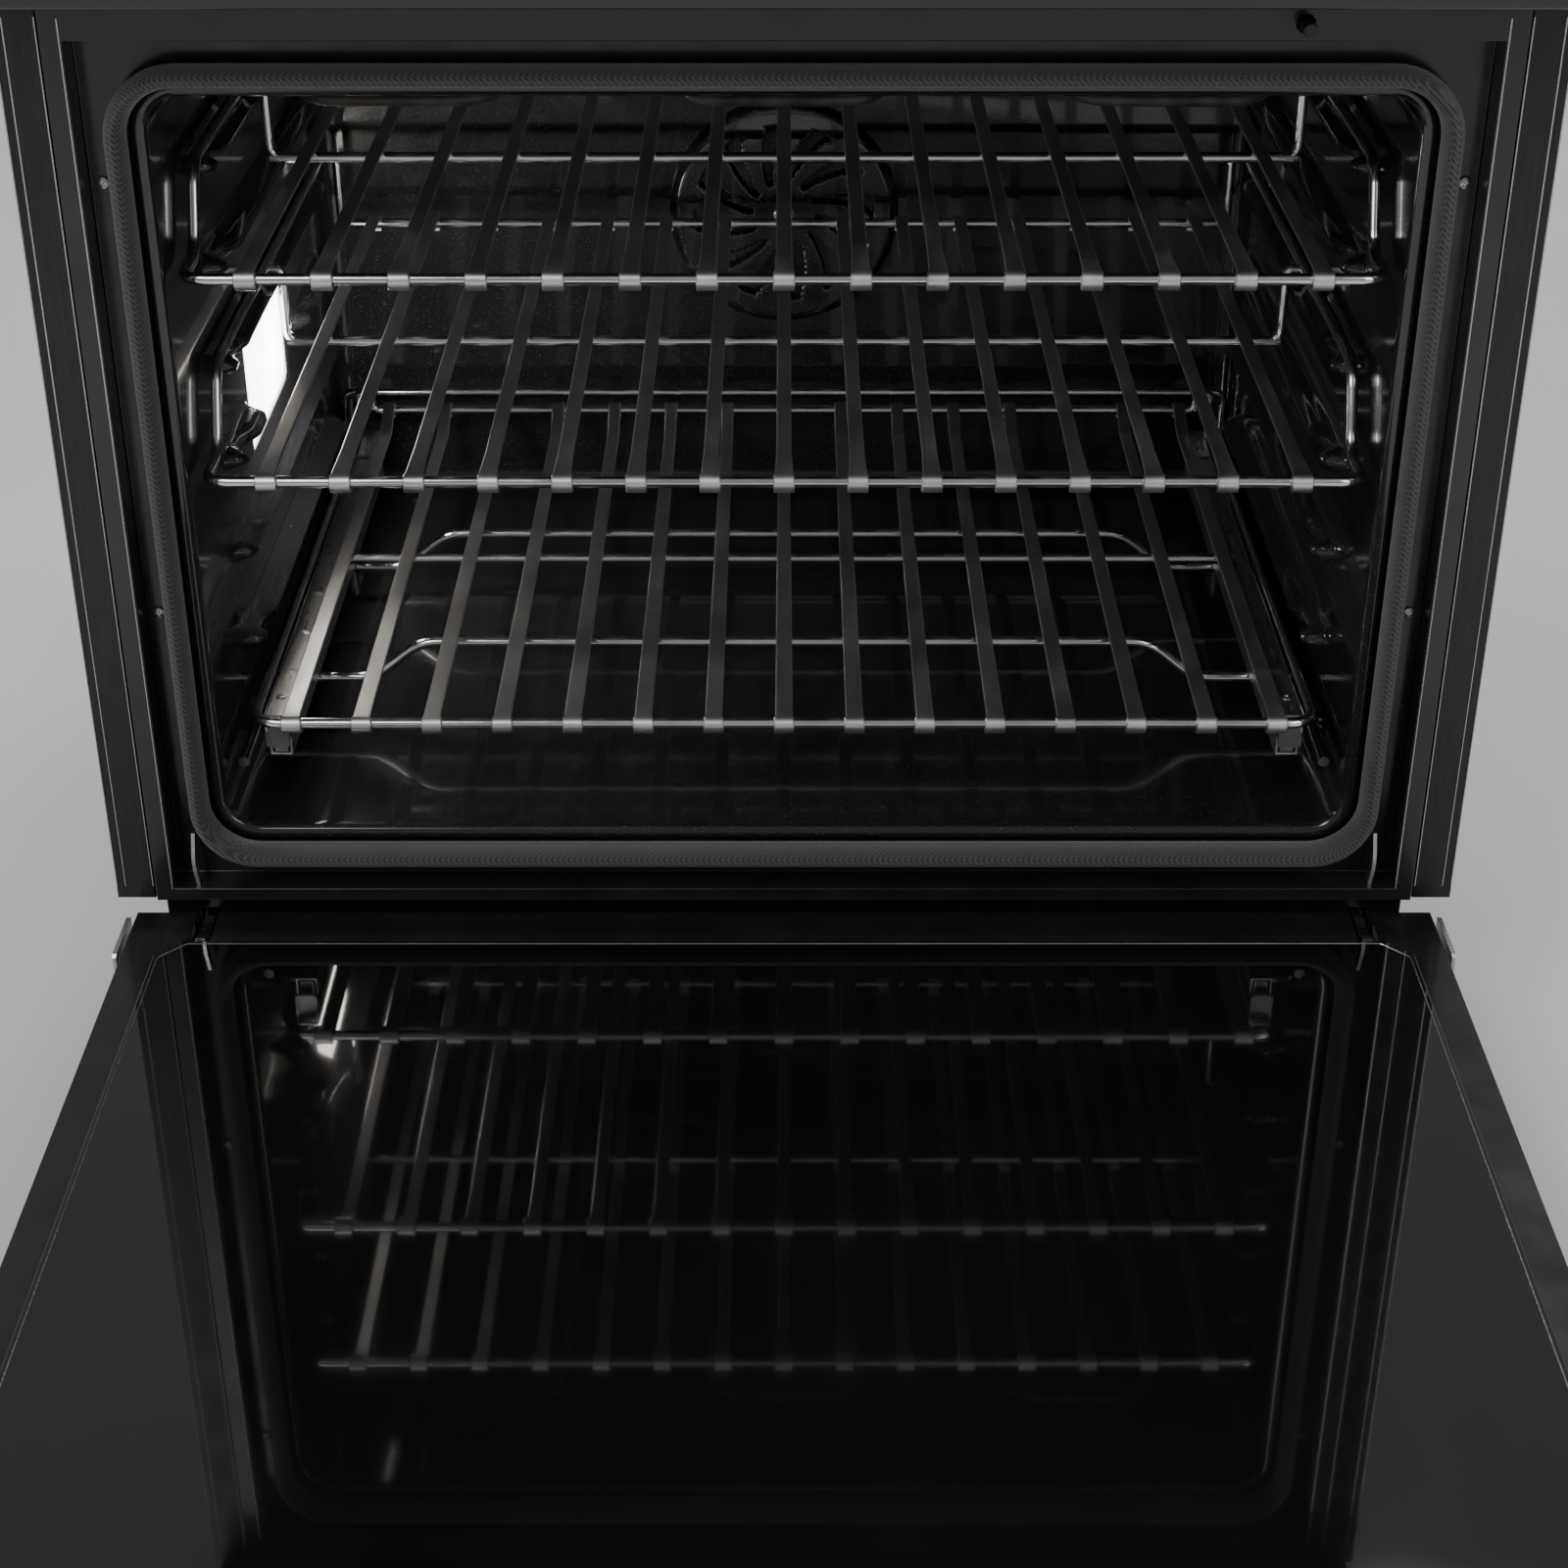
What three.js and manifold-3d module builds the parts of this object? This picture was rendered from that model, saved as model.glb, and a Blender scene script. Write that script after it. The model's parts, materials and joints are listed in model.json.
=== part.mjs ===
// A built-in wall oven, in millimetres: X to the right, Y to the back, Z up.
// The origin is on the underside of the chassis, in the middle, at the plane of the cabinet's face.
// It stands with its door open and its three racks home.
import * as THREE from 'three';
import { mergeVertices } from 'three/addons/utils/BufferGeometryUtils.js';
import Module from 'manifold-3d';

const wasm = await Module();
wasm.setup();

// Chassis and front
const GAP = 0.3;
const SHEET = 2;
const CHASSIS_X = 356;
const CHASSIS_BACK = 600;
const CHASSIS_TOP = 715;
const TRIM_OUT = 381;
const TRIM_IN = 359;
const TRIM_FACE = -38;
const TRIM_BOTTOM = 107;
const TRIM_TOP = 620;
const FRAME_FACE = -41;
const FRAME_X = 358;
const FRAME_BOTTOM = 107;
const FRAME_TOP = 612;
const PANEL_BOTTOM = 622;
const PANEL_TOP = 735;
const PANEL_FACE = -90;

const SWITCH_X = 250;
const SWITCH_Z = 603.5;

// Cavity
const CAVITY_X = 317.5;
const CAVITY_FLOOR = 145;
const CAVITY_ROOF = 565;
const CAVITY_BACK = 460;
const CAVITY_CORNER = 20;
const LIP = -22;
const RIB_DEPTH = 14;
const RIB_HEIGHT = 14;
const RIB_FIRST = 170;
const RIB_PITCH = 56.3;
const RIB_COUNT = 7;
const RIB_START = 60;
const RIB_END = 405;
const FAN_Z = 351;
const FAN_RECESS_R = 72;
const FAN_RECESS_DEPTH = 40;

// Racks
const WIRE = 3.2;
const STRAP_PITCH = 39.5;
const STRAP_COUNT = 15;
const STRAP_WIDTH = 8.3;
const STRAP_THICK = 2;
const RACK_FRONT = -12.6;
const RACK_DEPTH = 437;
const RACK_X = 309.5;
const SHELF_X = 298.5;
const SHELF_DECK = 210;
const CROSS_WIRES = [108, 264];

// Telescopic rails of the roll-out shelf
const RAIL_IN = 281;
const RAIL_OUT = 294;
const RAIL_WALL = 1.5;
const RAIL_FRONT = 4;
const RAIL_LENGTH = 400;

// Door, in its own directions: u from the hinge axis to the handle edge, w from there to the inner face
const HINGE_Y = -60;
const HINGE_Z = 85;
const DOOR_X = 374;
const DOOR_NEAR = -25;
const DOOR_FAR = 529;
const DOOR_OUTER_W = -30;
const DOOR_INNER_W = 15;
const ARM_X = 331;

const group = new THREE.Group();

const finishes = {
  galvanised: [0x9a9c9c, 0.45, 0.9],
  enamel: [0x1c1d20, 0.16, 0.1],
  frameEnamel: [0x26272a, 0.3, 0.1],
  wool: [0xd8cfa6, 0.95, 0],
  braid: [0x8c8c88, 0.8, 0.2],
  trim: [0x3a3b3d, 0.35, 0.7],
  blackGlass: [0x050607, 0.05, 0],
  clearGlass: [0x90a0a0, 0.05, 0],
  chrome: [0xd9dadc, 0.15, 1],
  rail: [0xc2c4c6, 0.32, 0.95],
  steel: [0xa8aaac, 0.35, 0.9],
  element: [0x4a4643, 0.6, 0.6],
  plastic: [0x1a1b1c, 0.5, 0],
  board: [0x24523a, 0.6, 0],
};

/** A mesh of the group, from a geometry, under a name and one of the finishes. */
function addPart(name, geometry, finish, parent = group) {
  const [color, roughness, metalness] = finishes[finish];
  const mesh = new THREE.Mesh(geometry, new THREE.MeshStandardMaterial({ color, roughness, metalness }));
  mesh.name = name;
  parent.add(mesh);
  return mesh;
}

/** The solid that a closed three.js geometry bounds. */
function solid(geometry) {
  const plain = geometry.index ? geometry.toNonIndexed() : geometry.clone();
  plain.deleteAttribute('normal');
  plain.deleteAttribute('uv');
  const merged = mergeVertices(plain, 1e-4);
  const mesh = new wasm.Mesh({
    numProp: 3,
    vertProperties: new Float32Array(merged.attributes.position.array),
    triVerts: new Uint32Array(merged.index.array),
  });
  return new wasm.Manifold(mesh);
}

/** A solid as a three.js geometry. */
function skin(body) {
  const mesh = body.getMesh();
  const geometry = new THREE.BufferGeometry();
  geometry.setAttribute('position', new THREE.BufferAttribute(new Float32Array(mesh.vertProperties), 3));
  geometry.setIndex(new THREE.BufferAttribute(new Uint32Array(mesh.triVerts), 1));
  const flat = geometry.toNonIndexed();
  flat.computeVertexNormals();
  return flat;
}

function boxGeometry(x0, x1, y0, y1, z0, z1) {
  const box = new THREE.BoxGeometry(x1 - x0, y1 - y0, z1 - z0);
  return box.translate((x0 + x1) / 2, (y0 + y1) / 2, (z0 + z1) / 2);
}

const block = (...corners) => solid(boxGeometry(...corners));
const union = (bodies) => bodies.reduce((whole, body) => whole.add(body));
const cutAll = (body, tools) => tools.reduce((left, tool) => left.subtract(tool), body);

/** A round bar between two heights of one axis: 'x', 'y' or 'z', centred on the other two coordinates. */
function bar(axis, from, to, a, b, radius, sides = 8) {
  const geometry = new THREE.CylinderGeometry(radius, radius, to - from, sides);
  const middle = (from + to) / 2;
  geometry.rotateY(Math.PI / sides);
  if (axis === 'x') geometry.rotateZ(-Math.PI / 2).translate(middle, a, b);
  if (axis === 'y') geometry.translate(a, middle, b);
  if (axis === 'z') geometry.rotateX(Math.PI / 2).translate(a, b, middle);
  return solid(geometry);
}

/** A wire's centre line through its own corner points, each corner rounded by a short arc. */
class BentWire extends THREE.Curve {
  constructor(corners, radius, arcSteps = 3) {
    super();
    const points = corners.map((p) => new THREE.Vector3(...p));
    this.points = [points[0]];
    for (let i = 1; i < points.length - 1; i += 1) {
      const before = points[i - 1].clone().sub(points[i]);
      const after = points[i + 1].clone().sub(points[i]);
      const reach = Math.min(radius, before.length() * 0.49, after.length() * 0.49);
      const start = points[i].clone().add(before.setLength(reach));
      const end = points[i].clone().add(after.setLength(reach));
      const arc = new THREE.QuadraticBezierCurve3(start, points[i], end);
      this.points.push(...arc.getPoints(arcSteps));
    }
    this.points.push(points[points.length - 1]);
  }

  get steps() {
    return this.points.length - 1;
  }

  getPoint(t) {
    const i = Math.round(t * this.steps);
    return this.points[i].clone();
  }

  getPointAt(t) {
    return this.getPoint(t);
  }

  getTangentAt(t) {
    const i = Math.round(t * this.steps);
    const ahead = this.points[Math.min(i + 1, this.steps)];
    const behind = this.points[Math.max(i - 1, 0)];
    return ahead.clone().sub(behind).normalize();
  }
}

/** A wire or tube of a round section along rounded corners. */
function wire(corners, radius, { bend = 14, sides = 6, arcSteps = 3 } = {}) {
  const path = new BentWire(corners, bend, arcSteps);
  const section = new THREE.Shape();
  section.absarc(0, 0, radius, 0, Math.PI * 2, false);
  const geometry = new THREE.ExtrudeGeometry(section, {
    extrudePath: path,
    steps: path.steps,
    curveSegments: sides / 2,
    bevelEnabled: false,
  });
  return solid(geometry);
}

/** A rectangular ring across Y: from the outer rectangle to the inner one, each [half width, bottom, top]. */
function ring(outer, inner, y0, y1) {
  const [outerX, outerZ0, outerZ1] = outer;
  const [innerX, innerZ0, innerZ1] = inner;
  const whole = block(-outerX, outerX, y0, y1, outerZ0, outerZ1);
  return whole.subtract(block(-innerX, innerX, y0 - 1, y1 + 1, innerZ0, innerZ1));
}

/** A closed outline round the mouth of the cavity, at an offset from its walls. */
function mouthOutline(Path, offset) {
  const radius = CAVITY_CORNER + offset;
  const x = CAVITY_X + offset - radius;
  const low = CAVITY_FLOOR - offset + radius;
  const high = CAVITY_ROOF + offset - radius;
  const path = new Path();
  path.absarc(x, high, radius, 0, Math.PI / 2, false);
  path.absarc(-x, high, radius, Math.PI / 2, Math.PI, false);
  path.absarc(-x, low, radius, Math.PI, Math.PI * 1.5, false);
  path.absarc(x, low, radius, Math.PI * 1.5, Math.PI * 2, false);
  return path;
}

/** A slab of the mouth's outline from y0 to y1, with a hole of that outline at another offset if one is given. */
function mouthSlab(offset, y0, y1, holeOffset) {
  const shape = mouthOutline(THREE.Shape, offset);
  if (holeOffset !== undefined) shape.holes.push(mouthOutline(THREE.Path, holeOffset));
  const geometry = new THREE.ExtrudeGeometry(shape, { depth: y1 - y0, bevelEnabled: false, curveSegments: 4 });
  return geometry.rotateX(Math.PI / 2).translate(0, y1, 0);
}

/** Both sides of a pair, left at -X and right at +X. */
function bothSides(make) {
  make('left', -1);
  make('right', 1);
}

/** A block given by its distance from the middle, on the side that sign says. */
function sideBlock(sign, near, far, y0, y1, z0, z1) {
  return block(Math.min(sign * near, sign * far), Math.max(sign * near, sign * far), y0, y1, z0, z1);
}

// ---- Chassis ----

const CLAW_SLOT = [325, 337];
const GLAND_X = 250;
const GLAND_Z = 660;

function addChassis() {
  const x = CHASSIS_X;
  addPart('chassis_base', boxGeometry(-x, x, -24, CHASSIS_BACK, 0, SHEET), 'galvanised');
  const low = SHEET + GAP;
  const high = CHASSIS_TOP - SHEET - GAP;
  const back = CHASSIS_BACK - SHEET;
  addPart('chassis_side_left', boxGeometry(-x, -x + SHEET, 1, back - GAP, low, high), 'galvanised');
  addPart('chassis_side_right', boxGeometry(x - SHEET, x, 1, back - GAP, low, high), 'galvanised');
  const rear = block(-x, x, back, CHASSIS_BACK, low, high);
  const glandHole = bar('y', back - 2, CHASSIS_BACK + 2, GLAND_X, GLAND_Z, 12, 12);
  addPart('chassis_rear', skin(rear.subtract(glandHole)), 'galvanised');
  addPart('chassis_top', boxGeometry(-x, x, 1, CHASSIS_BACK, CHASSIS_TOP - SHEET, CHASSIS_TOP), 'galvanised');
  const gland = union([
    bar('y', 584, CHASSIS_BACK + 14, GLAND_X, GLAND_Z, 11.4, 12),
    bar('y', CHASSIS_BACK + GAP, CHASSIS_BACK + 5, GLAND_X, GLAND_Z, 17, 12),
  ]);
  const glandBore = bar('y', 580, CHASSIS_BACK + 20, GLAND_X, GLAND_Z, 8, 12);
  addPart('conduit_gland', skin(gland.subtract(glandBore)), 'steel');
}

/** The louvred strip under the door, with a slot for each hinge arm. */
function addBottomVent() {
  const slots = [-250, -125, 0, 125, 250].map((x) => block(x - 50, x + 50, -30, -20, 44, 56));
  bothSides((side, sign) => slots.push(sideBlock(sign, ...CLAW_SLOT, -30, -20, 76, 94)));
  const strip = block(-CHASSIS_X, CHASSIS_X, -28, -26, 8, 104);
  addPart('bottom_vent_trim', skin(cutAll(strip, slots)), 'trim');
}

/** The enamelled frame round the mouth: a face, a step back to the gasket's seat, and walls to the chassis. */
function addFrontFrame() {
  const face = ring([FRAME_X, FRAME_BOTTOM, FRAME_TOP], [347, 115, 595], FRAME_FACE, FRAME_FACE + SHEET);
  const step = ring([349, 113, 597], [347, 115, 595], FRAME_FACE, LIP + SHEET);
  const mouth = solid(mouthSlab(SHEET + GAP, LIP - 1, LIP + SHEET + 1));
  const seat = block(-349, 349, LIP, LIP + SHEET, 113, 597).subtract(mouth);
  const outer = [FRAME_X, FRAME_BOTTOM, FRAME_TOP];
  const walls = ring(outer, [FRAME_X - SHEET, FRAME_BOTTOM + SHEET, FRAME_TOP - SHEET], FRAME_FACE, 0.5);
  const switchHole = bar('y', FRAME_FACE - 2, FRAME_FACE + 4, SWITCH_X, SWITCH_Z, 4.4);
  addPart('front_frame', skin(union([face, step, seat, walls]).subtract(switchHole)), 'frameEnamel');
}

/** The switch that the closing door pushes, and its plunger, drawn out. */
function addLightSwitch() {
  const body = block(SWITCH_X - 12, SWITCH_X + 12, -38.5, -16, 598.5, 608.5);
  const bore = bar('y', -40, -17.5, SWITCH_X, SWITCH_Z, 4.4);
  addPart('light_switch_body', skin(body.subtract(bore)), 'plastic');
  addPart('light_switch_plunger', skin(bar('y', -55, -26, SWITCH_X, SWITCH_Z, 3.9)), 'plastic');
}

/** A trim channel down each side, which covers the edge of the cabinet's cut-out. */
function addSideTrims() {
  bothSides((side, sign) => {
    const face = sideBlock(sign, TRIM_IN, TRIM_OUT, TRIM_FACE, TRIM_FACE + SHEET, TRIM_BOTTOM, TRIM_TOP);
    const inner = sideBlock(sign, TRIM_IN, TRIM_IN + SHEET, TRIM_FACE, 0, TRIM_BOTTOM, TRIM_TOP);
    const outer = sideBlock(sign, TRIM_OUT - SHEET, TRIM_OUT, TRIM_FACE, 0, TRIM_BOTTOM, TRIM_TOP);
    const foot = sideBlock(sign, TRIM_OUT - 14, TRIM_OUT, -SHEET, 0, TRIM_BOTTOM, TRIM_TOP);
    addPart(`side_trim_${side}`, skin(union([face, inner, outer, foot])), 'trim');
  });
}

/** The glass and the housing of the control panel, above the door. */
function addControlPanel() {
  const glass = boxGeometry(-TRIM_OUT, TRIM_OUT, PANEL_FACE, PANEL_FACE + 4, PANEL_BOTTOM, PANEL_TOP);
  addPart('control_panel_glass', glass, 'blackGlass');
  const front = PANEL_FACE + 4 + GAP;
  const shell = block(-378, 378, front, 0, PANEL_BOTTOM + 2, PANEL_TOP - 2);
  const hollow = block(-376, 376, front + SHEET, 5, PANEL_BOTTOM + 4, PANEL_TOP - 4);
  addPart('control_panel_housing', skin(shell.subtract(hollow)), 'trim');
  addPart('control_board', boxGeometry(-150, 150, -60, -52, 640, 700), 'board');
}

// ---- Cavity ----

const LAMP = { y0: 149, y1: 279, z0: 300, z1: 378 };

/** The blocks of one embossed rack support, left out where the lamp's glass is. */
function ribBlocks(sign, top) {
  const bottom = top - RIB_HEIGHT;
  const meetsLamp = sign < 0 && bottom < LAMP.z1 && top > LAMP.z0;
  const spans = meetsLamp ? [[RIB_START, LAMP.y0 - 8], [LAMP.y1 + 8, RIB_END]] : [[RIB_START, RIB_END]];
  return spans.map(([y0, y1]) => sideBlock(sign, CAVITY_X - RIB_DEPTH, CAVITY_X + 1, y0, y1, bottom, top));
}

const ribTop = (number) => RIB_FIRST + RIB_PITCH * (number - 1);

function addCavity() {
  const front = LIP - SHEET - GAP;
  const shell = solid(mouthSlab(SHEET, front, CAVITY_BACK + SHEET));
  const flange = solid(mouthSlab(5.5, front, front + SHEET, 1));
  const hollow = solid(mouthSlab(0, front - 5, CAVITY_BACK));
  const recessEnd = CAVITY_BACK + FAN_RECESS_DEPTH;
  const recess = bar('y', CAVITY_BACK + 1, recessEnd + SHEET, 0, FAN_Z, FAN_RECESS_R + SHEET, 24);
  const recessHollow = bar('y', CAVITY_BACK - 1, recessEnd, 0, FAN_Z, FAN_RECESS_R, 24);
  const ribs = [];
  for (let number = 1; number <= RIB_COUNT; number += 1) {
    ribs.push(...ribBlocks(-1, ribTop(number)), ...ribBlocks(1, ribTop(number)));
  }
  const holes = [
    block(-CAVITY_X - 5, -CAVITY_X + 1, LAMP.y0, LAMP.y1, LAMP.z0, LAMP.z1),
    bar('y', recessEnd - 1, recessEnd + 5, 0, FAN_Z, 6),
    block(-36, -24, 455, 470, BROIL_Z - 6, BROIL_Z + 6),
    block(24, 36, 455, 470, BROIL_Z - 6, BROIL_Z + 6),
    block(SENSOR_X - 4, SENSOR_X + 4, 455, 470, SENSOR_Z - 4, SENSOR_Z + 4),
    block(-20, -14, recessEnd - 1, recessEnd + 5, FAN_Z + 55, FAN_Z + 64),
    block(14, 20, recessEnd - 1, recessEnd + 5, FAN_Z + 55, FAN_Z + 64),
  ];
  const body = union([shell, flange, recess]).subtract(hollow).subtract(recessHollow).add(union(ribs));
  addPart('cavity_liner', skin(cutAll(body, holes)), 'enamel');
}

/** The braided rope seal round the mouth, which the closed door presses. */
function addGasket() {
  addPart('door_gasket', mouthSlab(17, LIP - 22.5, LIP - GAP, 6), 'braid');
}

/** Mineral wool over the sides and the top of the cavity, and behind it. */
function addInsulation() {
  const outer = block(-345, 345, 5, 458, 148, 596);
  const inner = block(-322, 322, 0, 470, 100, 570);
  const lampBay = block(-350, -310, LAMP.y0 - 12, LAMP.y1 + 12, LAMP.z0 - 12, LAMP.z1 + 12);
  addPart('insulation_wrap', skin(outer.subtract(inner).subtract(lampBay)), 'wool');
  const rear = block(-312, 312, 466, 486, 150, 562);
  const holes = [
    bar('y', 460, 490, 0, FAN_Z, FAN_RECESS_R + 6, 24),
    block(-42, 42, 460, 490, BROIL_Z - 12, BROIL_Z + 12),
    block(SENSOR_X - 6, SENSOR_X + 6, 460, 490, SENSOR_Z - 6, SENSOR_Z + 6),
  ];
  addPart('insulation_rear', skin(cutAll(rear, holes)), 'wool');
}

// ---- Heating, air and light ----

const BROIL_Z = 545;
const SENSOR_X = 200;
const SENSOR_Z = 528;
const TUBE = 4;

/** The broil element's tube: four hairpins under the roof, and two straight ends through the rear wall. */
function addBroilElement() {
  const ends = [
    [-30, 476], [-30, 410], [-250, 410], [-250, 40], [-150, 40], [-150, 350], [-50, 350], [-50, 40],
  ];
  const half = ends.map(([x, y]) => [x, y, BROIL_Z]);
  const other = ends.map(([x, y]) => [-x, y, BROIL_Z]).reverse();
  const tube = wire([...half, ...other], TUBE, { bend: 22, sides: 6, arcSteps: 2 });
  addPart('broil_element', skin(tube), 'element');
}

/** The bake element, hidden between the cavity's floor and a tray. */
function addBakeElement() {
  const z = CAVITY_FLOOR - 14;
  const ends = [[-30, 452], [-30, 420], [-230, 420], [-230, 60], [-90, 60], [-90, 350]];
  const half = ends.map(([x, y]) => [x, y, z]);
  const other = ends.map(([x, y]) => [-x, y, z]).reverse();
  const tube = wire([...half, ...other], TUBE, { bend: 26, sides: 6, arcSteps: 2 });
  addPart('bake_element', skin(tube), 'element');
  const tray = block(-270, 270, 20, 456, z - 12, z - 4.5);
  const dish = block(-268, 268, 22, 454, z - 10, z);
  addPart('bake_tray', skin(tray.subtract(dish)), 'galvanised');
}

/** The slotted cover over the fan, its wheel and shaft, the motor behind the recess and the ring element. */
function addConvectionFan() {
  const cover = bar('y', 452, CAVITY_BACK - GAP, 0, FAN_Z, 80, 24);
  const dish = bar('y', 454, CAVITY_BACK + 2, 0, FAN_Z, 78, 24);
  const slots = [];
  for (let i = 0; i < 12; i += 1) {
    const slot = new THREE.BoxGeometry(6, 10, 34);
    slot.translate(12, 453, 42).rotateY((i * Math.PI) / 6).translate(0, 0, FAN_Z);
    slots.push(solid(slot));
  }
  addPart('fan_cover', skin(cutAll(cover.subtract(dish), slots)), 'enamel');

  const blades = [bar('y', 468, 471, 0, FAN_Z, 48, 16), bar('y', 466, 486, 0, FAN_Z, 9)];
  for (let i = 0; i < 8; i += 1) {
    const blade = new THREE.BoxGeometry(2, 18, 26);
    blade.translate(4, 479, 33).rotateY((i * Math.PI) / 4).translate(0, 0, FAN_Z);
    blades.push(solid(blade));
  }
  blades.push(bar('y', 480, 524, 0, FAN_Z, 3));
  addPart('convection_fan', skin(union(blades)), 'steel');
  const motor = bar('y', 506, 560, 0, FAN_Z, 36, 16);
  addPart('convection_motor', skin(motor.subtract(bar('y', 500, 530, 0, FAN_Z, 3.5))), 'steel');

  const loop = [];
  for (let i = 0; i <= 16; i += 1) {
    const turn = Math.PI * (0.59 + (1.82 * i) / 16);
    loop.push([60 * Math.cos(turn), 480, FAN_Z + 60 * Math.sin(turn)]);
  }
  const first = loop[0];
  const last = loop[loop.length - 1];
  const path = [[first[0], 512, first[2]], ...loop, [last[0], 512, last[2]]];
  addPart('convection_element', skin(wire(path, 2.6, { bend: 3, sides: 6, arcSteps: 1 })), 'element');
}

/** The lamp in the left wall: a housing outside the cavity, a bulb and a glass. */
function addLamp() {
  const { y0, y1, z0, z1 } = LAMP;
  const wall = -CAVITY_X - SHEET - GAP;
  const box = block(-350, wall, y0 - 6, y1 + 6, z0 - 6, z1 + 6);
  const hollow = block(-348, wall + 5, y0 - 4, y1 + 4, z0 - 4, z1 + 4);
  addPart('lamp_housing', skin(box.subtract(hollow)), 'galvanised');
  addPart('lamp_lens', boxGeometry(-322, -313.5, y0 + 1, y1 - 1, z0 + 1, z1 - 1), 'clearGlass');
  const bulb = new THREE.SphereGeometry(11, 10, 8);
  addPart('lamp_bulb', bulb.translate(-335, (y0 + y1) / 2, (z0 + z1) / 2), 'clearGlass');
}

function addSensor() {
  const rod = bar('y', 395, 474, SENSOR_X, SENSOR_Z, 2.5);
  addPart('temperature_sensor', skin(rod), 'steel');
}

/** The cooling blower on the chassis, above the cavity: a housing open at both ends, and a drum wheel. */
function addBlower() {
  const y = 440;
  const z = 662;
  const box = block(-125, 125, y - 45, y + 45, z - 43, z + 43);
  const bore = bar('x', -130, 130, y, z, 38, 20);
  const outlet = block(-110, 110, y - 60, y - 10, z - 36, z - 8);
  addPart('blower_housing', skin(box.subtract(bore).subtract(outlet)), 'galvanised');
  const wheel = [
    bar('x', -116, -112, y, z, 32, 16),
    bar('x', 112, 116, y, z, 32, 16),
    bar('x', -122, 122, y, z, 5),
  ];
  for (let i = 0; i < 12; i += 1) {
    const blade = new THREE.BoxGeometry(228, 9, 2);
    blade.translate(0, 26, 0).rotateX((i * Math.PI) / 6).translate(0, y, z);
    wheel.push(solid(blade));
  }
  addPart('blower_wheel', skin(union(wheel)), 'plastic');
}

// ---- Racks ----

/** A profile drawn in Y and Z, extruded from x0 to x1. */
function profileAlongX(shape, x0, x1) {
  const geometry = new THREE.ExtrudeGeometry(shape, { depth: x1 - x0, bevelEnabled: false });
  const place = new THREE.Matrix4().set(0, 0, 1, x0, 1, 0, 0, 0, 0, 1, 0, 0, 0, 0, 0, 1);
  return geometry.applyMatrix4(place);
}

/** The middle of each strap across the rack. */
const strapPlaces = Array.from({ length: STRAP_COUNT }, (_, i) => (i - (STRAP_COUNT - 1) / 2) * STRAP_PITCH);

/** The plain blocks of the straps' turns round the front bar. */
function strapTurns(z) {
  const r = WIRE + 1.4;
  const half = STRAP_WIDTH / 2 + 0.8;
  return strapPlaces.map((x) => block(x - half, x + half, RACK_FRONT - r, RACK_FRONT + r, z - r, z + r));
}

/** The flat straps from a front edge to the rear bar, each with its rear end bent up to that bar. */
function straps(frontY, barZ, rearY, rearZ) {
  const low = barZ + WIRE - 0.5;
  const rise = rearZ - barZ;
  const slope = 26;
  return strapPlaces.map((x) => {
    const shape = new THREE.Shape();
    shape.moveTo(frontY, low);
    if (rise > 0) shape.lineTo(rearY - slope, low);
    shape.lineTo(rearY, low + rise);
    shape.lineTo(rearY, low + rise + STRAP_THICK);
    if (rise > 0) shape.lineTo(rearY - slope - 1, low + STRAP_THICK);
    shape.lineTo(frontY, low + STRAP_THICK);
    return profileAlongX(shape, x - STRAP_WIDTH / 2, x + STRAP_WIDTH / 2);
  }).map(solid);
}

/**
 * A rack as its frame and its deck. The frame's side wires jog up from the front corners to run on the wall
 * supports, and short posts come down from them to the deck, which hangs between them.
 */
function addRack(name, support) {
  const runner = ribTop(support) + GAP + WIRE;
  const deck = runner - 45;
  const rear = RACK_FRONT + RACK_DEPTH;
  const cross = 200;
  const postX = 299;
  const half = [[RACK_X, rear, runner], [RACK_X, 44, runner], [RACK_X, 24, deck], [RACK_X, RACK_FRONT, deck]];
  const loop = [...half, ...half.map(([x, y, z]) => [-x, y, z]).reverse()];
  const rearBar = bar('x', -RACK_X, RACK_X, rear, runner, WIRE, 6);
  const posts = [];
  bothSides((side, sign) => {
    [cross, rear].forEach((y) => {
      const foot = deck + WIRE + GAP;
      const line = [[sign * postX, y, foot], [sign * postX, y, runner], [sign * RACK_X, y, runner]];
      posts.push(wire(line, WIRE, { bend: 6, arcSteps: 2 }));
    });
  });
  const frameParts = [wire(loop, WIRE, { bend: 12 }), rearBar, ...posts, ...strapTurns(deck)];
  addPart(`${name}_frame`, skin(union(frameParts)), 'chrome');
  const deckParts = [
    bar('x', -postX, postX, rear, deck, WIRE, 6),
    bar('x', -postX, postX, cross, deck, WIRE, 6),
    ...straps(RACK_FRONT + WIRE + 1.4 + GAP, deck, rear, deck),
  ];
  addPart(`${name}_deck`, skin(union(deckParts)), 'chrome');
}

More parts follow.
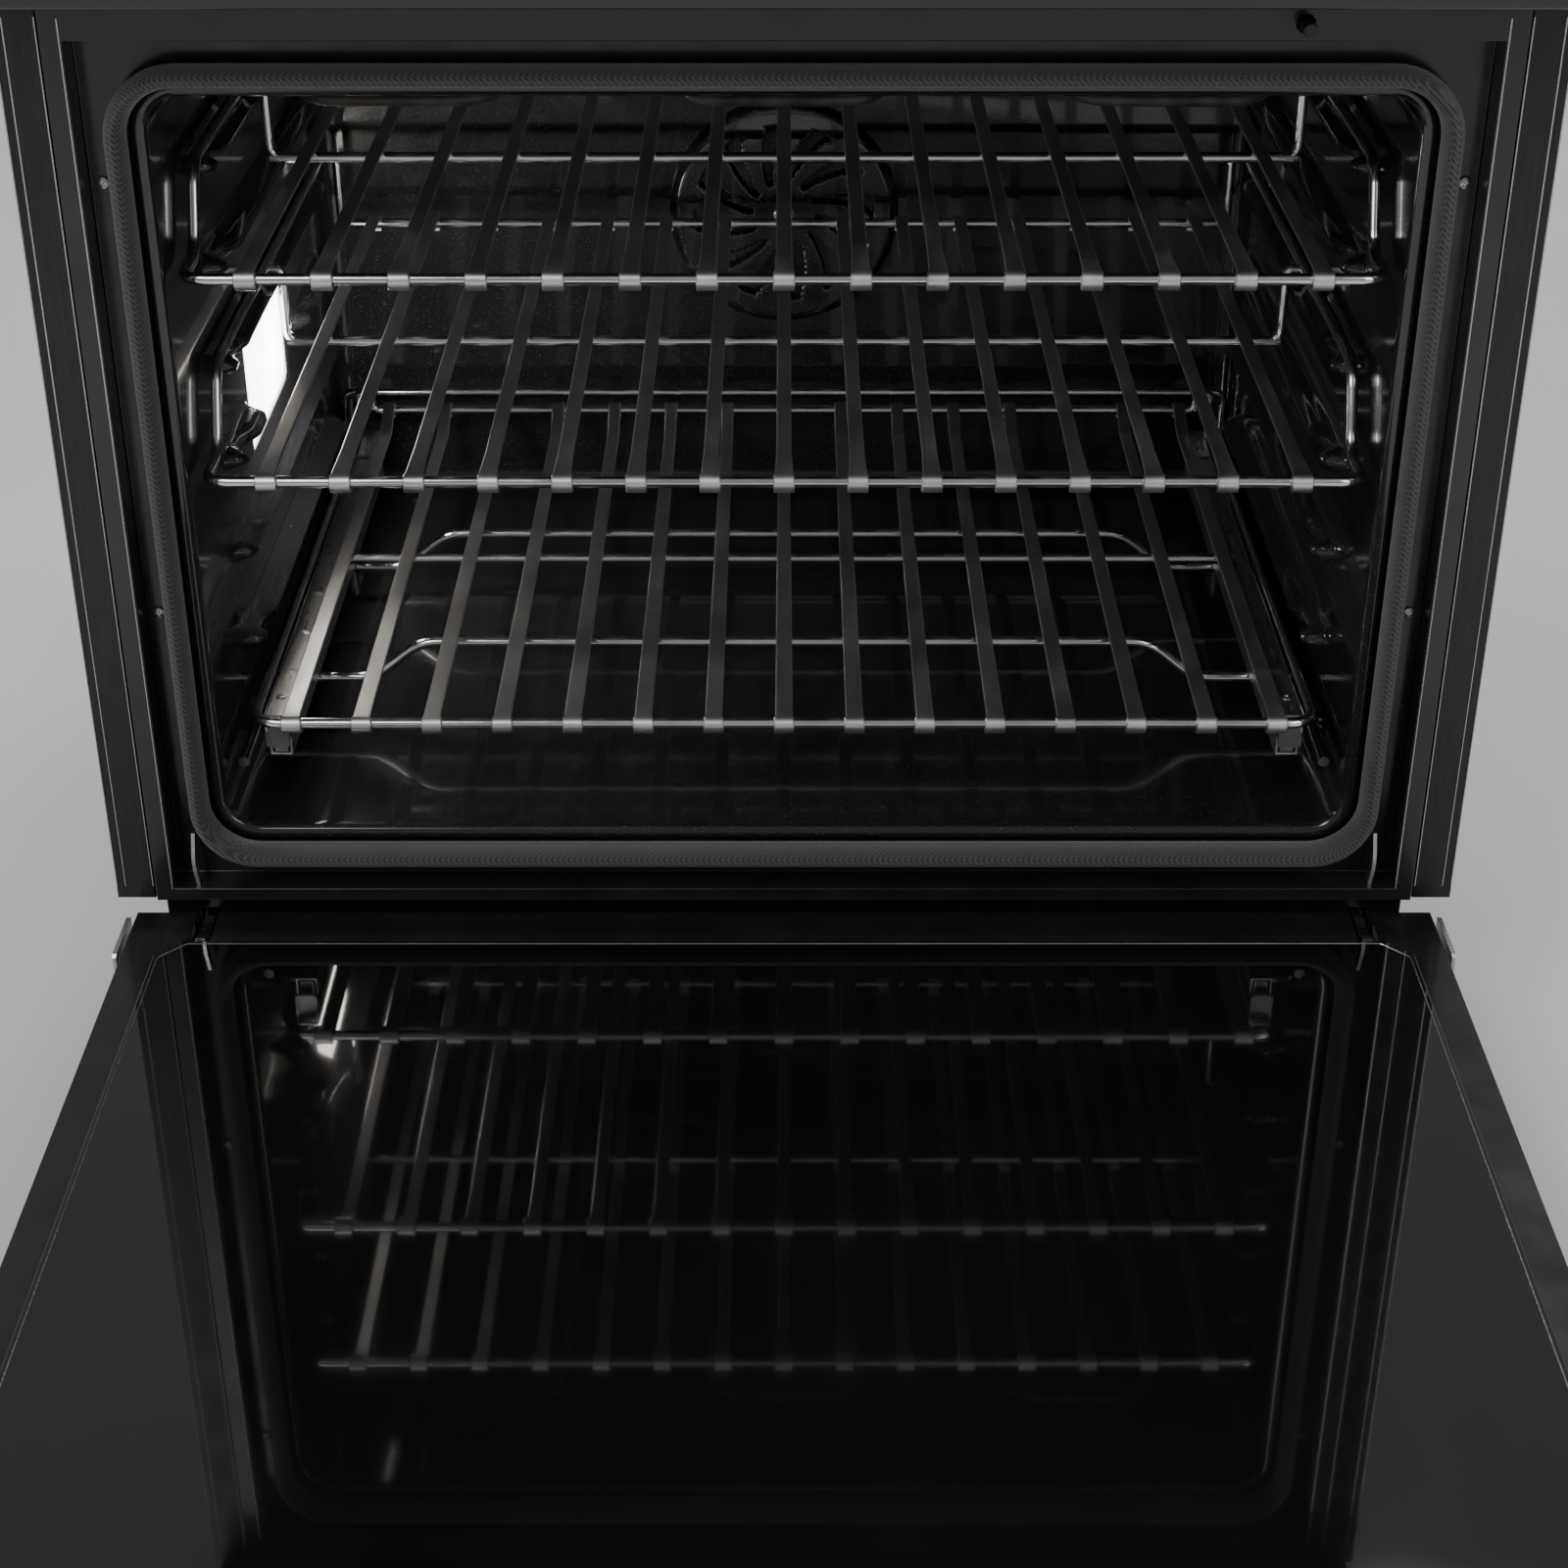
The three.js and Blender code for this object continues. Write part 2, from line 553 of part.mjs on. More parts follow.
/** The roll-out shelf: front bar and side wires, straps, and a raised rear bar with an ear at each end. */
function addRolloutShelf() {
  const z = SHELF_DECK - WIRE;
  const rear = RACK_FRONT + RACK_DEPTH;
  const rearZ = z + 12;
  const half = [[SHELF_X, rear - 26, z], [SHELF_X, RACK_FRONT, z]];
  const front = [...half, ...half.map(([x, y, h]) => [-x, y, h]).reverse()];
  const ear = [
    [SHELF_X, rear - 30, z], [SHELF_X, rear, z], [SHELF_X, rear, z + 24], [289, rear, z + 24], [289, rear, rearZ],
  ];
  const back = [...ear, ...ear.map(([x, y, h]) => [-x, y, h]).reverse()];
  const parts = [
    wire(front, WIRE, { bend: 16 }),
    wire(back, WIRE, { bend: 6, arcSteps: 2 }),
    bar('x', -RAIL_IN + 0.5, RAIL_IN - 0.5, 205, z, WIRE),
    ...strapTurns(z),
    ...straps(RACK_FRONT, z, rear, rearZ),
  ];
  addPart('rollout_shelf', skin(union(parts)), 'chrome');
}

/**
 * The wire frame that stays in the oven on the lowest supports and carries the rails. Its two cross wires rise
 * in the middle, and its side wires turn up behind the shelf into a stop bar.
 */
function addBaseFrame() {
  const z = ribTop(1) + GAP + WIRE;
  const stopY = 435;
  const stopZ = 228;
  const raised = (y) => [
    [-RACK_X, y, z], [-248, y, z], [-219.5, y, z + 24], [219.5, y, z + 24], [248, y, z], [RACK_X, y, z],
  ];
  const side = [[RACK_X, 2, z], [RACK_X, stopY, z], [RACK_X, stopY, stopZ]];
  const loop = [...side, ...side.map(([x, y, h]) => [-x, y, h]).reverse()];
  const parts = [
    wire(loop, WIRE, { bend: 10, arcSteps: 2 }),
    ...CROSS_WIRES.map((y) => wire(raised(y), WIRE, { bend: 10, arcSteps: 2 })),
  ];
  addPart('rollout_base_frame', skin(union(parts)), 'chrome');
}

/** Each side's telescopic rail: a fixed channel, a middle bar and the sliding channel under the shelf. */
function addRails() {
  const floor = ribTop(1) + GAP + 2 * WIRE + GAP;
  const back = RAIL_FRONT + RAIL_LENGTH;
  const cap = SHELF_DECK - 2.6;
  const nose = RACK_FRONT + 10;
  bothSides((side, sign) => {
    const channel = sideBlock(sign, RAIL_IN, RAIL_OUT, RAIL_FRONT, back, floor, floor + 12);
    const slot = sideBlock(
      sign, RAIL_IN + RAIL_WALL, RAIL_OUT - RAIL_WALL, RAIL_FRONT - 1, back + 1, floor + RAIL_WALL, floor + 20,
    );
    addPart(`fixed_rail_${side}`, skin(channel.subtract(slot)), 'rail');
    const middle = boxGeometry(
      Math.min(sign * 283.5, sign * 291.5), Math.max(sign * 283.5, sign * 291.5),
      RAIL_FRONT, back, floor + RAIL_WALL + 0.5, cap - RAIL_WALL - 0.8,
    );
    addPart(`middle_rail_${side}`, middle, 'steel');
    const hood = sideBlock(sign, RAIL_IN, RAIL_OUT, nose, back + 12, cap - 12, cap);
    const under = sideBlock(
      sign, RAIL_IN + RAIL_WALL, RAIL_OUT - RAIL_WALL, 0, back + 13, cap - 14, cap - RAIL_WALL,
    );
    const skirt = sideBlock(sign, RAIL_IN, RAIL_OUT, nose, nose + 3, cap - 22, cap);
    addPart(`sliding_rail_${side}`, skin(hood.subtract(under).add(skirt)), 'rail');
  });
}

// ---- Door, drawn open ----

const doorY = (u) => HINGE_Y - u;
const doorZ = (w) => HINGE_Z + w;

/** A block of the open door, from its two x, u and w limits. */
function doorBlock(x0, x1, u0, u1, w0, w1) {
  return block(x0, x1, doorY(u1), doorY(u0), doorZ(w0), doorZ(w1));
}

const PAN_W = 10.5;

function addDoorPan() {
  const x = DOOR_X - 2;
  const pan = doorBlock(-x, x, DOOR_NEAR, DOOR_FAR - 2, DOOR_OUTER_W + 5.3, PAN_W);
  const hollow = doorBlock(-x + 2, x - 2, DOOR_NEAR + 2, DOOR_FAR - 4, DOOR_OUTER_W, PAN_W - 2);
  const cuts = [doorBlock(-290, 290, 70, 455, 0, 20)];
  bothSides((side, sign) => {
    const [near, far] = CLAW_SLOT;
    const x0 = Math.min(sign * near, sign * far);
    cuts.push(doorBlock(x0, x0 + far - near, DOOR_NEAR - 5, 11, -11, 20));
  });
  addPart('door_pan', skin(cutAll(pan.subtract(hollow), cuts)), 'frameEnamel');
}

/** The door's three panes. The inner one has its two corners by the hinges cut off. */
function addDoorGlass() {
  const outer = doorBlock(-DOOR_X, DOOR_X, DOOR_NEAR, DOOR_FAR, DOOR_OUTER_W, DOOR_OUTER_W + 5);
  addPart('door_outer_glass', skin(outer), 'blackGlass');
  const middle = doorBlock(-305, 305, 50, 475, -8, -4);
  addPart('door_middle_glass', skin(middle), 'clearGlass');
  const x = 352;
  const near = 12;
  const corner = 14;
  const shape = new THREE.Shape();
  shape.moveTo(-x + corner, doorY(near));
  shape.lineTo(-x, doorY(near + corner));
  shape.lineTo(-x, doorY(500));
  shape.lineTo(x, doorY(500));
  shape.lineTo(x, doorY(near + corner));
  shape.lineTo(x - corner, doorY(near));
  const depth = DOOR_INNER_W - PAN_W - GAP;
  const glass = new THREE.ExtrudeGeometry(shape, { depth, bevelEnabled: false });
  glass.translate(0, 0, doorZ(PAN_W + GAP));
  addPart('door_inner_glass', glass, 'blackGlass');
}

const HANDLE_U = 488;
const HANDLE_W = -68;
const HANDLE_R = 10;

function addHandle() {
  const grip = bar('x', -325, 325, doorY(HANDLE_U), doorZ(HANDLE_W), HANDLE_R, 16);
  addPart('handle_bar', skin(grip), 'steel');
  bothSides((side, sign) => {
    const x = sign * 295;
    const post = doorBlock(x - 9, x + 9, HANDLE_U - 9, HANDLE_U + 9, HANDLE_W, DOOR_OUTER_W - GAP);
    const clearance = bar('x', x - 20, x + 20, doorY(HANDLE_U), doorZ(HANDLE_W), HANDLE_R + GAP, 16);
    const seated = post.subtract(clearance);
    addPart(`handle_bracket_${side}`, skin(seated), 'steel');
  });
}

/** Each side's hinge: an arm hooked into a receiver, and a pin that carries a channel inside the door. */
function addHinges() {
  bothSides((side, sign) => {
    const x = sign * ARM_X;
    const eye = bar('x', x - 3, x + 3, HINGE_Y, HINGE_Z, 9, 16);
    const arm = block(x - 3, x + 3, HINGE_Y, 45, HINGE_Z - 6, HINGE_Z + 6);
    const hook = block(x - 3, x + 3, 28, 38, HINGE_Z - 13, HINGE_Z);
    const bore = bar('x', x - 5, x + 5, HINGE_Y, HINGE_Z, 4.5, 12);
    addPart(`hinge_arm_${side}`, skin(union([eye, arm, hook]).subtract(bore)), 'steel');

    const tube = block(x - 6.5, x + 6.5, 6, 52, HINGE_Z - 19, HINGE_Z + 13);
    const inside = block(x - 5, x + 5, 0, 60, HINGE_Z - 17, HINGE_Z + 11);
    addPart(`hinge_receiver_${side}`, skin(tube.subtract(inside)), 'galvanised');

    const channel = doorBlock(x - 9, x + 9, -18, 190, -20, 8);
    const throat = doorBlock(x - 7, x + 7, -30, 200, -18, 20);
    const pinHole = bar('x', x - 20, x + 20, HINGE_Y, HINGE_Z, 4.3, 12);
    addPart(`hinge_channel_${side}`, skin(cutAll(channel, [throat, pinHole])), 'galvanised');
    addPart(`hinge_pin_${side}`, skin(bar('x', x - 11, x + 11, HINGE_Y, HINGE_Z, 4, 12)), 'steel');
  });
}

addChassis();
addBottomVent();
addFrontFrame();
addLightSwitch();
addSideTrims();
addControlPanel();
addCavity();
addGasket();
addInsulation();
addBroilElement();
addBakeElement();
addConvectionFan();
addLamp();
addSensor();
addBlower();
addRack('middle_rack', 5);
addRack('top_rack', 7);
addRolloutShelf();
addBaseFrame();
addRails();
addDoorPan();
addDoorGlass();
addHandle();
addHinges();

export default group;
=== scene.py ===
import json
from math import cos, pi, radians, sin

import bmesh
import bpy
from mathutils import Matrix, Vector


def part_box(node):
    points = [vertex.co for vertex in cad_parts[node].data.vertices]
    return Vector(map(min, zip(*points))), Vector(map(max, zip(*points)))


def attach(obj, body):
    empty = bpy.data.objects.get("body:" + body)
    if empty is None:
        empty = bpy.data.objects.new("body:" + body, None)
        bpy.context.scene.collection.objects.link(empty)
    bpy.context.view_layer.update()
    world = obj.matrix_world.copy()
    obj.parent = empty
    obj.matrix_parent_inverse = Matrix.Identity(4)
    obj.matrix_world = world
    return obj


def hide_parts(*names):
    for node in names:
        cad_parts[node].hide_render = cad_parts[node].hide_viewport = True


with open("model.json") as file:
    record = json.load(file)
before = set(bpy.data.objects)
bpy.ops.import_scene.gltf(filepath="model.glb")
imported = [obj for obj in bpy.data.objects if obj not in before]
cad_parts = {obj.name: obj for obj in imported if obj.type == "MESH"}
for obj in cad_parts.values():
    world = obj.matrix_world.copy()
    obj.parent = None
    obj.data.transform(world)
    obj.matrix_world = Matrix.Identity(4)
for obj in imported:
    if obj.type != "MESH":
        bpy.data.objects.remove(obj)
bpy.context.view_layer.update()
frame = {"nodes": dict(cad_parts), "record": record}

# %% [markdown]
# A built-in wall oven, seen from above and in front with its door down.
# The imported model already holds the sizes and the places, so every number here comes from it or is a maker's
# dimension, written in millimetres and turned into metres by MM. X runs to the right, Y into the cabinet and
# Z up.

scene = bpy.context.scene
SLOT_OF = {s["node"]: s["material_slot"] for s in frame["record"]["subparts"]}
BODY_OF = {n: b for b, nodes in frame["record"]["behaviour"]["bodies"].items() for n in nodes}
MM = 0.001
print("nodes:", len(SLOT_OF), "bodies:", len(set(BODY_OF.values())))

# %% [markdown]
# The camera stands a little over a metre in front of the oven, above its top, and looks down at the
# shelves. A lens of about 61 mm keeps the uprights nearly parallel, which suits a large flat front.

# %% Camera
camera_data = bpy.data.cameras.new("camera")
camera_data.lens = 61.3
camera_data.sensor_width = 36
camera = bpy.data.objects.new("camera", camera_data)
camera.location = (0, -1.33, 0.925)
camera.rotation_euler = (radians(90 - 29.9), 0, 0)
scene.collection.objects.link(camera)
scene.camera = camera
print("camera height", camera.location.z)

# %% [markdown]
# The studio is a pale floor, a dim grey room and four large soft lamps. Bright metal and black enamel show
# what stands round them, so the lamps are broad panels that leave long soft streaks on the wires.

# %% Floor, room and lamps
FLOOR_HALF = 6.0


def soft_panel(name, place, aim, width, height, power):
    """A large area lamp at a place, turned to face a point."""
    light = bpy.data.lights.new(name, "AREA")
    light.shape = "RECTANGLE"
    light.size = width
    light.size_y = height
    light.energy = power
    lamp = bpy.data.objects.new(name, light)
    lamp.location = place
    lamp.rotation_euler = (Vector(aim) - Vector(place)).to_track_quat("-Z", "Y").to_euler()
    scene.collection.objects.link(lamp)
    return lamp


soft_panel("key_panel", (-1.6, -1.9, 2.6), (0, -0.2, 0.25), 1.8, 1.2, 42)
soft_panel("fill_panel", (1.9, -2.1, 1.7), (0, -0.1, 0.3), 1.2, 1.8, 20)
soft_panel("top_panel", (0, 0.6, 3.0), (0, -0.3, 0.1), 2.4, 0.8, 26)
soft_panel("back_panel", (0.4, 2.6, 4.4), (0, 0.5, 0.4), 2.2, 1.6, 90)

world = bpy.data.worlds.new("room")
world.use_nodes = True
world.node_tree.nodes["Background"].inputs["Color"].default_value = (0.78, 0.79, 0.8, 1)
world.node_tree.nodes["Background"].inputs["Strength"].default_value = 0.32
scene.world = world

floor_mesh = bpy.data.meshes.new("studio_floor")
corners = [(-FLOOR_HALF, -FLOOR_HALF, 0), (FLOOR_HALF, -FLOOR_HALF, 0), (FLOOR_HALF, FLOOR_HALF, 0),
           (-FLOOR_HALF, FLOOR_HALF, 0)]
floor_mesh.from_pydata(corners, [], [(0, 1, 2, 3)])
studio_floor = bpy.data.objects.new("studio_floor", floor_mesh)
scene.collection.objects.link(studio_floor)

# %% [markdown]
# Every finish starts from one Principled shader. Texture is laid on in real millimetres, from the object's
# own coordinates, so that a grain of half a millimetre is half a millimetre on every piece, and moves with
# it.

# %% Helpers for finishes
FINISH = {}


class Finish:
    """One material under construction: its nodes, and short ways to add grain, colour and relief."""

    def __init__(self, slot, metallic=0.0, roughness=0.5, **sockets):
        self.material = bpy.data.materials.new(slot)
        self.material.use_nodes = True
        self.tree = self.material.node_tree
        self.shader = self.tree.nodes["Principled BSDF"]
        self.put("Metallic", metallic)
        self.put("Roughness", roughness)
        for name, value in sockets.items():
            self.put(name.replace("_", " "), value)
        self.place = self.tree.nodes.new("ShaderNodeTexCoord").outputs["Object"]
        FINISH[slot] = self.material

    def put(self, socket, value):
        self.shader.inputs[socket].default_value = value

    def node(self, kind, **values):
        made = self.tree.nodes.new(kind)
        for name, value in values.items():
            setattr(made, name, value)
        return made

    def link(self, source, target):
        self.tree.links.new(source, target)

    def grain(self, size_mm, stretch=(1, 1, 1), detail=3.0, cells=False):
        """A field from 0 to 1 whose features are about size_mm across, drawn out along an axis by stretch."""
        mapping = self.node("ShaderNodeMapping")
        mapping.inputs["Scale"].default_value = [1 / (size_mm * MM * s) for s in stretch]
        self.link(self.place, mapping.inputs["Vector"])
        texture = self.node("ShaderNodeTexVoronoi" if cells else "ShaderNodeTexNoise")
        texture.inputs["Scale"].default_value = 1.0
        if not cells:
            texture.inputs["Detail"].default_value = detail
        self.link(mapping.outputs["Vector"], texture.inputs["Vector"])
        return texture.outputs["Color" if cells else "Fac"]

    def spread(self, field, low, high, start=0.3, end=0.7):
        """A field from start to end, turned into values from low to high."""
        scale = self.node("ShaderNodeMapRange")
        for socket, value in zip(("From Min", "From Max", "To Min", "To Max"), (start, end, low, high)):
            scale.inputs[socket].default_value = value
        self.link(field, scale.inputs["Value"])
        return scale.outputs["Result"]

    def colours(self, field, stops):
        """A colour ramp over a field, into the base colour. stops are (place, (r, g, b))."""
        ramp = self.node("ShaderNodeValToRGB")
        elements = ramp.color_ramp.elements
        while len(elements) < len(stops):
            elements.new(0.5)
        for element, (where, colour) in zip(elements, stops):
            element.position = where
            element.color = (*colour, 1)
        self.link(field, ramp.inputs["Fac"])
        self.link(ramp.outputs["Color"], self.shader.inputs["Base Color"])

    def rough(self, field, low, high):
        self.link(self.spread(field, low, high), self.shader.inputs["Roughness"])

    def relief(self, field, depth_mm, strength=1.0):
        bump = self.node("ShaderNodeBump")
        bump.inputs["Distance"].default_value = depth_mm * MM
        bump.inputs["Strength"].default_value = strength
        self.link(field, bump.inputs["Height"])
        self.link(bump.outputs["Normal"], self.shader.inputs["Normal"])


# %% [markdown]
# Vitreous enamel is glass fired onto steel. It is nearly black, very glossy, slightly wavy like orange
# peel, and cooks' enamels carry fine pale flecks. The flecks are small noise peaks, cut off by a steep
# colour ramp.

# %% Enamels and painted trims
enamel = Finish("cavity_enamel", roughness=0.12, Coat_Weight=0.6, Coat_Roughness=0.04)
flecks = enamel.grain(1.1, detail=1.0)
GROUND, FLECK_EDGE, FLECK = (0.008, 0.008, 0.0095), (0.013, 0.013, 0.015), (0.085, 0.085, 0.09)
enamel.colours(flecks, [(0.0, GROUND), (0.66, FLECK_EDGE), (0.76, FLECK)])
enamel.rough(enamel.grain(60), 0.08, 0.2)
enamel.relief(enamel.grain(9), 0.12, 0.4)

frame_enamel = Finish("frame_enamel", roughness=0.25, Coat_Weight=0.3, Coat_Roughness=0.1)
frame_enamel.colours(frame_enamel.grain(45), [(0.3, (0.009, 0.009, 0.01)), (0.7, (0.017, 0.017, 0.018))])
frame_enamel.rough(frame_enamel.grain(30), 0.18, 0.32)
frame_enamel.relief(frame_enamel.grain(3), 0.05, 0.35)

trim_paint = Finish("trim_paint", metallic=0.2, roughness=0.3)
trim_paint.colours(trim_paint.grain(0.8, (1, 1, 30)),
                   [(0.3, (0.008, 0.008, 0.009)), (0.7, (0.018, 0.018, 0.019))])
trim_paint.rough(trim_paint.grain(20), 0.22, 0.34)
trim_paint.relief(trim_paint.grain(0.5, (1, 1, 20)), 0.03, 0.4)
print("finishes:", len(FINISH))

# %% [markdown]
# Rack wire is steel with bright nickel on it. It mirrors the room, but years of sliding leave fine marks
# along its length and slightly duller patches. The flat straps are rolled, so the same nickel is more satin
# on them. The rails are softer still, and the chassis shows galvanised spangle.

# %% Bright metals
nickel = Finish("rack_nickel", metallic=1.0, roughness=0.14)
nickel.colours(nickel.grain(35), [(0.3, (0.62, 0.62, 0.63)), (0.7, (0.8, 0.8, 0.81))])
nickel.rough(nickel.grain(14, (1, 3, 1)), 0.09, 0.21)
nickel.relief(nickel.grain(0.5, (1, 40, 1)), 0.02, 0.3)

strap_nickel = Finish("strap_nickel", metallic=1.0, roughness=0.36)
strap_nickel.colours(strap_nickel.grain(40), [(0.3, (0.66, 0.66, 0.67)), (0.7, (0.84, 0.84, 0.85))])
strap_nickel.rough(strap_nickel.grain(30, (1, 2, 1)), 0.3, 0.46)
strap_nickel.relief(strap_nickel.grain(0.5, (1, 40, 1)), 0.01, 0.2)

rail_steel = Finish("rail_steel", metallic=1.0, roughness=0.3)
rail_steel.colours(rail_steel.grain(4, (1, 8, 1)), [(0.3, (0.52, 0.52, 0.53)), (0.7, (0.7, 0.7, 0.71))])
rail_steel.rough(rail_steel.grain(2, (1, 6, 1)), 0.26, 0.44)
rail_steel.relief(rail_steel.grain(0.7, (1, 25, 1)), 0.04, 0.5)

bright_steel = Finish("bright_steel", metallic=1.0, roughness=0.28)
bright_steel.colours(bright_steel.grain(0.9, (40, 1, 1)),
                     [(0.3, (0.45, 0.45, 0.46)), (0.7, (0.62, 0.62, 0.63))])
bright_steel.rough(bright_steel.grain(0.6, (30, 1, 1)), 0.2, 0.36)
bright_steel.relief(bright_steel.grain(0.4, (50, 1, 1)), 0.03, 0.5)

galvanised = Finish("galvanised_steel", metallic=0.9, roughness=0.45)
spangle = galvanised.grain(7, cells=True)
galvanised.colours(spangle, [(0.1, (0.38, 0.39, 0.39)), (0.9, (0.46, 0.47, 0.48))])
galvanised.rough(galvanised.grain(6), 0.36, 0.55)
galvanised.relief(galvanised.grain(2), 0.05, 0.4)

sheath = Finish("element_sheath", metallic=0.7, roughness=0.55)
sheath.colours(sheath.grain(12), [(0.3, (0.045, 0.04, 0.036)), (0.7, (0.11, 0.10, 0.092))])
sheath.rough(sheath.grain(3), 0.45, 0.7)
sheath.relief(sheath.grain(0.8), 0.08, 0.6)
print("finishes:", len(FINISH))

# %% [markdown]
# The black panes are clear glass painted on the back, so a gloss coat over a near-black ground is enough,
# with a faint variation in gloss where hands and cloths have been. The clear panes really let light
# through.

# %% Glass, seal, wool, plastic and board
black_glass = Finish("black_glass", roughness=0.05, Coat_Weight=1.0, Coat_Roughness=0.02,
                     Specular_IOR_Level=0.5)
black_glass.colours(black_glass.grain(140), [(0.3, (0.0035, 0.0035, 0.004)), (0.7, (0.006, 0.006, 0.0065))])
black_glass.rough(black_glass.grain(90), 0.03, 0.09)
black_glass.relief(black_glass.grain(160), 0.05, 0.1)

clear_glass = Finish("clear_glass", roughness=0.04, Transmission_Weight=0.92, IOR=1.5)
clear_glass.colours(clear_glass.grain(70), [(0.3, (0.86, 0.9, 0.88)), (0.7, (0.93, 0.95, 0.94))])
clear_glass.rough(clear_glass.grain(40), 0.02, 0.08)

seal = Finish("braided_seal", metallic=0.1, roughness=0.8, Sheen_Weight=0.3)
STRAND = 1.9


def diagonal(direction):
    """The ridges of the strands that run one way round the rope."""
    along = seal.node("ShaderNodeVectorMath", operation="DOT_PRODUCT")
    along.inputs[1].default_value = [d * 2 * pi / (STRAND * MM) for d in direction]
    seal.link(seal.place, along.inputs[0])
    wave = seal.node("ShaderNodeMath", operation="SINE")
    seal.link(along.outputs["Value"], wave.inputs[0])
    return wave.outputs["Value"]


crossing = seal.node("ShaderNodeMath", operation="MAXIMUM")
seal.link(diagonal((0.6, 0.8, 0.6)), crossing.inputs[0])
seal.link(diagonal((0.6, -0.8, 0.6)), crossing.inputs[1])
weave_relief_and_groove_shade = seal.spread(crossing.outputs["Value"], 0, 1, -0.4, 1.0)
# The grooves between the strands are painted darker than the ridges: painted shade, over the real relief.
seal.colours(weave_relief_and_groove_shade, [(0.0, (0.014, 0.014, 0.014)), (1.0, (0.075, 0.075, 0.073))])
seal.relief(weave_relief_and_groove_shade, 0.4, 0.7)

wool = Finish("mineral_wool", roughness=0.95, Sheen_Weight=0.4)
wool.colours(wool.grain(5, detail=8.0), [(0.3, (0.42, 0.36, 0.18)), (0.7, (0.66, 0.60, 0.38))])
wool.relief(wool.grain(2.5, detail=8.0), 1.5, 0.9)

plastic = Finish("black_plastic", roughness=0.5)
plastic.colours(plastic.grain(25), [(0.3, (0.014, 0.014, 0.015)), (0.7, (0.026, 0.026, 0.027))])
plastic.rough(plastic.grain(1.0), 0.42, 0.6)
plastic.relief(plastic.grain(0.6), 0.05, 0.5)

board = Finish("circuit_board", roughness=0.4)
board.colours(board.grain(2.0, (6, 1, 1)), [(0.4, (0.012, 0.075, 0.034)), (0.6, (0.03, 0.13, 0.06))])
board.relief(board.grain(1.5), 0.1, 0.4)

floor_finish = Finish("studio_floor_paint", roughness=0.6)
floor_finish.colours(floor_finish.grain(400), [(0.3, (0.70, 0.70, 0.69)), (0.7, (0.74, 0.74, 0.73))])
floor_mesh.materials.append(FINISH["studio_floor_paint"])

glow = Finish("lamp_glow", roughness=0.3, Emission_Color=(1, 0.95, 0.86, 1), Emission_Strength=6.0)
glow.colours(glow.grain(12), [(0.3, (0.9, 0.88, 0.82)), (0.7, (1, 0.98, 0.93))])
print("finishes:", len(FINISH))

# %% [markdown]
# Most metal pieces are one of two things: a section carried along a bent line, or a folded shape whose
# edges are slightly round. One helper sweeps a section along a line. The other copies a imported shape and
# rounds its edges.

# %% Helpers for pieces
WIRE = 3.2 * MM
QUARTERS = ((-1, -1), (1, -1), (1, 1), (-1, 1))


def piece(name, bm, body, slot, sharp=32):
    """A mesh object from a bmesh, smooth except at its real edges, riding on a body in one finish."""
    bmesh.ops.recalc_face_normals(bm, faces=bm.faces)
    mesh = bpy.data.meshes.new(name)
    bm.to_mesh(mesh)
    bm.free()
    mesh.materials.append(FINISH[slot])
    mesh.polygons.foreach_set("use_smooth", [True] * len(mesh.polygons))
    mesh.set_sharp_from_angle(angle=radians(sharp))
    made = bpy.data.objects.new(name, mesh)
    scene.collection.objects.link(made)
    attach(made, body)
    return made


def rounded(corners, bend, steps=6, closed=False):
    """The line through some corners, each one rounded over the length bend."""
    count = len(corners)
    line = []
    for i, corner in enumerate(map(Vector, corners)):
        if not closed and i in (0, count - 1):
            line.append(corner)
            continue
        before = Vector(corners[i - 1]) - corner
        after = Vector(corners[(i + 1) % count]) - corner
        reach = min(bend, before.length * 0.49, after.length * 0.49)
        start = corner + before.normalized() * reach
        end = corner + after.normalized() * reach
        for k in range(steps + 1):
            t = k / steps
            line.append(start * (1 - t) ** 2 + corner * (2 * t * (1 - t)) + end * t ** 2)
    return line


def circle(radius, sides=14, squeeze=1.0):
    turns = [2 * pi * k / sides for k in range(sides)]
    return [(radius * cos(turn), radius * squeeze * sin(turn)) for turn in turns]


def sweep(bm, line, section, side=None, closed=False):
    """Carries a closed section along a line. A section may be a function of the place along it, 0 to 1."""
    count = len(line)
    across = Vector(side) if side else None
    rows = []
    for i, point in enumerate(line):
        ahead = line[(i + 1) % count] if closed or i < count - 1 else point
        behind = line[i - 1] if closed or i > 0 else point
        along = (ahead - behind).normalized()
        if across is None:
            across = along.orthogonal()
        across = (across - along * across.dot(along)).normalized()
        up = along.cross(across)
        shape = section(i / (count - 1)) if callable(section) else section
        rows.append([bm.verts.new(point + across * a + up * b) for a, b in shape])
    turn = len(rows[0])
    for i in range(count if closed else count - 1):
        one, two = rows[i], rows[(i + 1) % count]
        for k in range(turn):
            bm.faces.new((one[k], one[(k + 1) % turn], two[(k + 1) % turn], two[k]))
    if not closed:
        bm.faces.new(rows[0])
        bm.faces.new(rows[-1])


def mirrored(half):
    """A line from its right half, closed across the middle plane."""
    return half + [(-x, y, z) for x, y, z in reversed(half)]


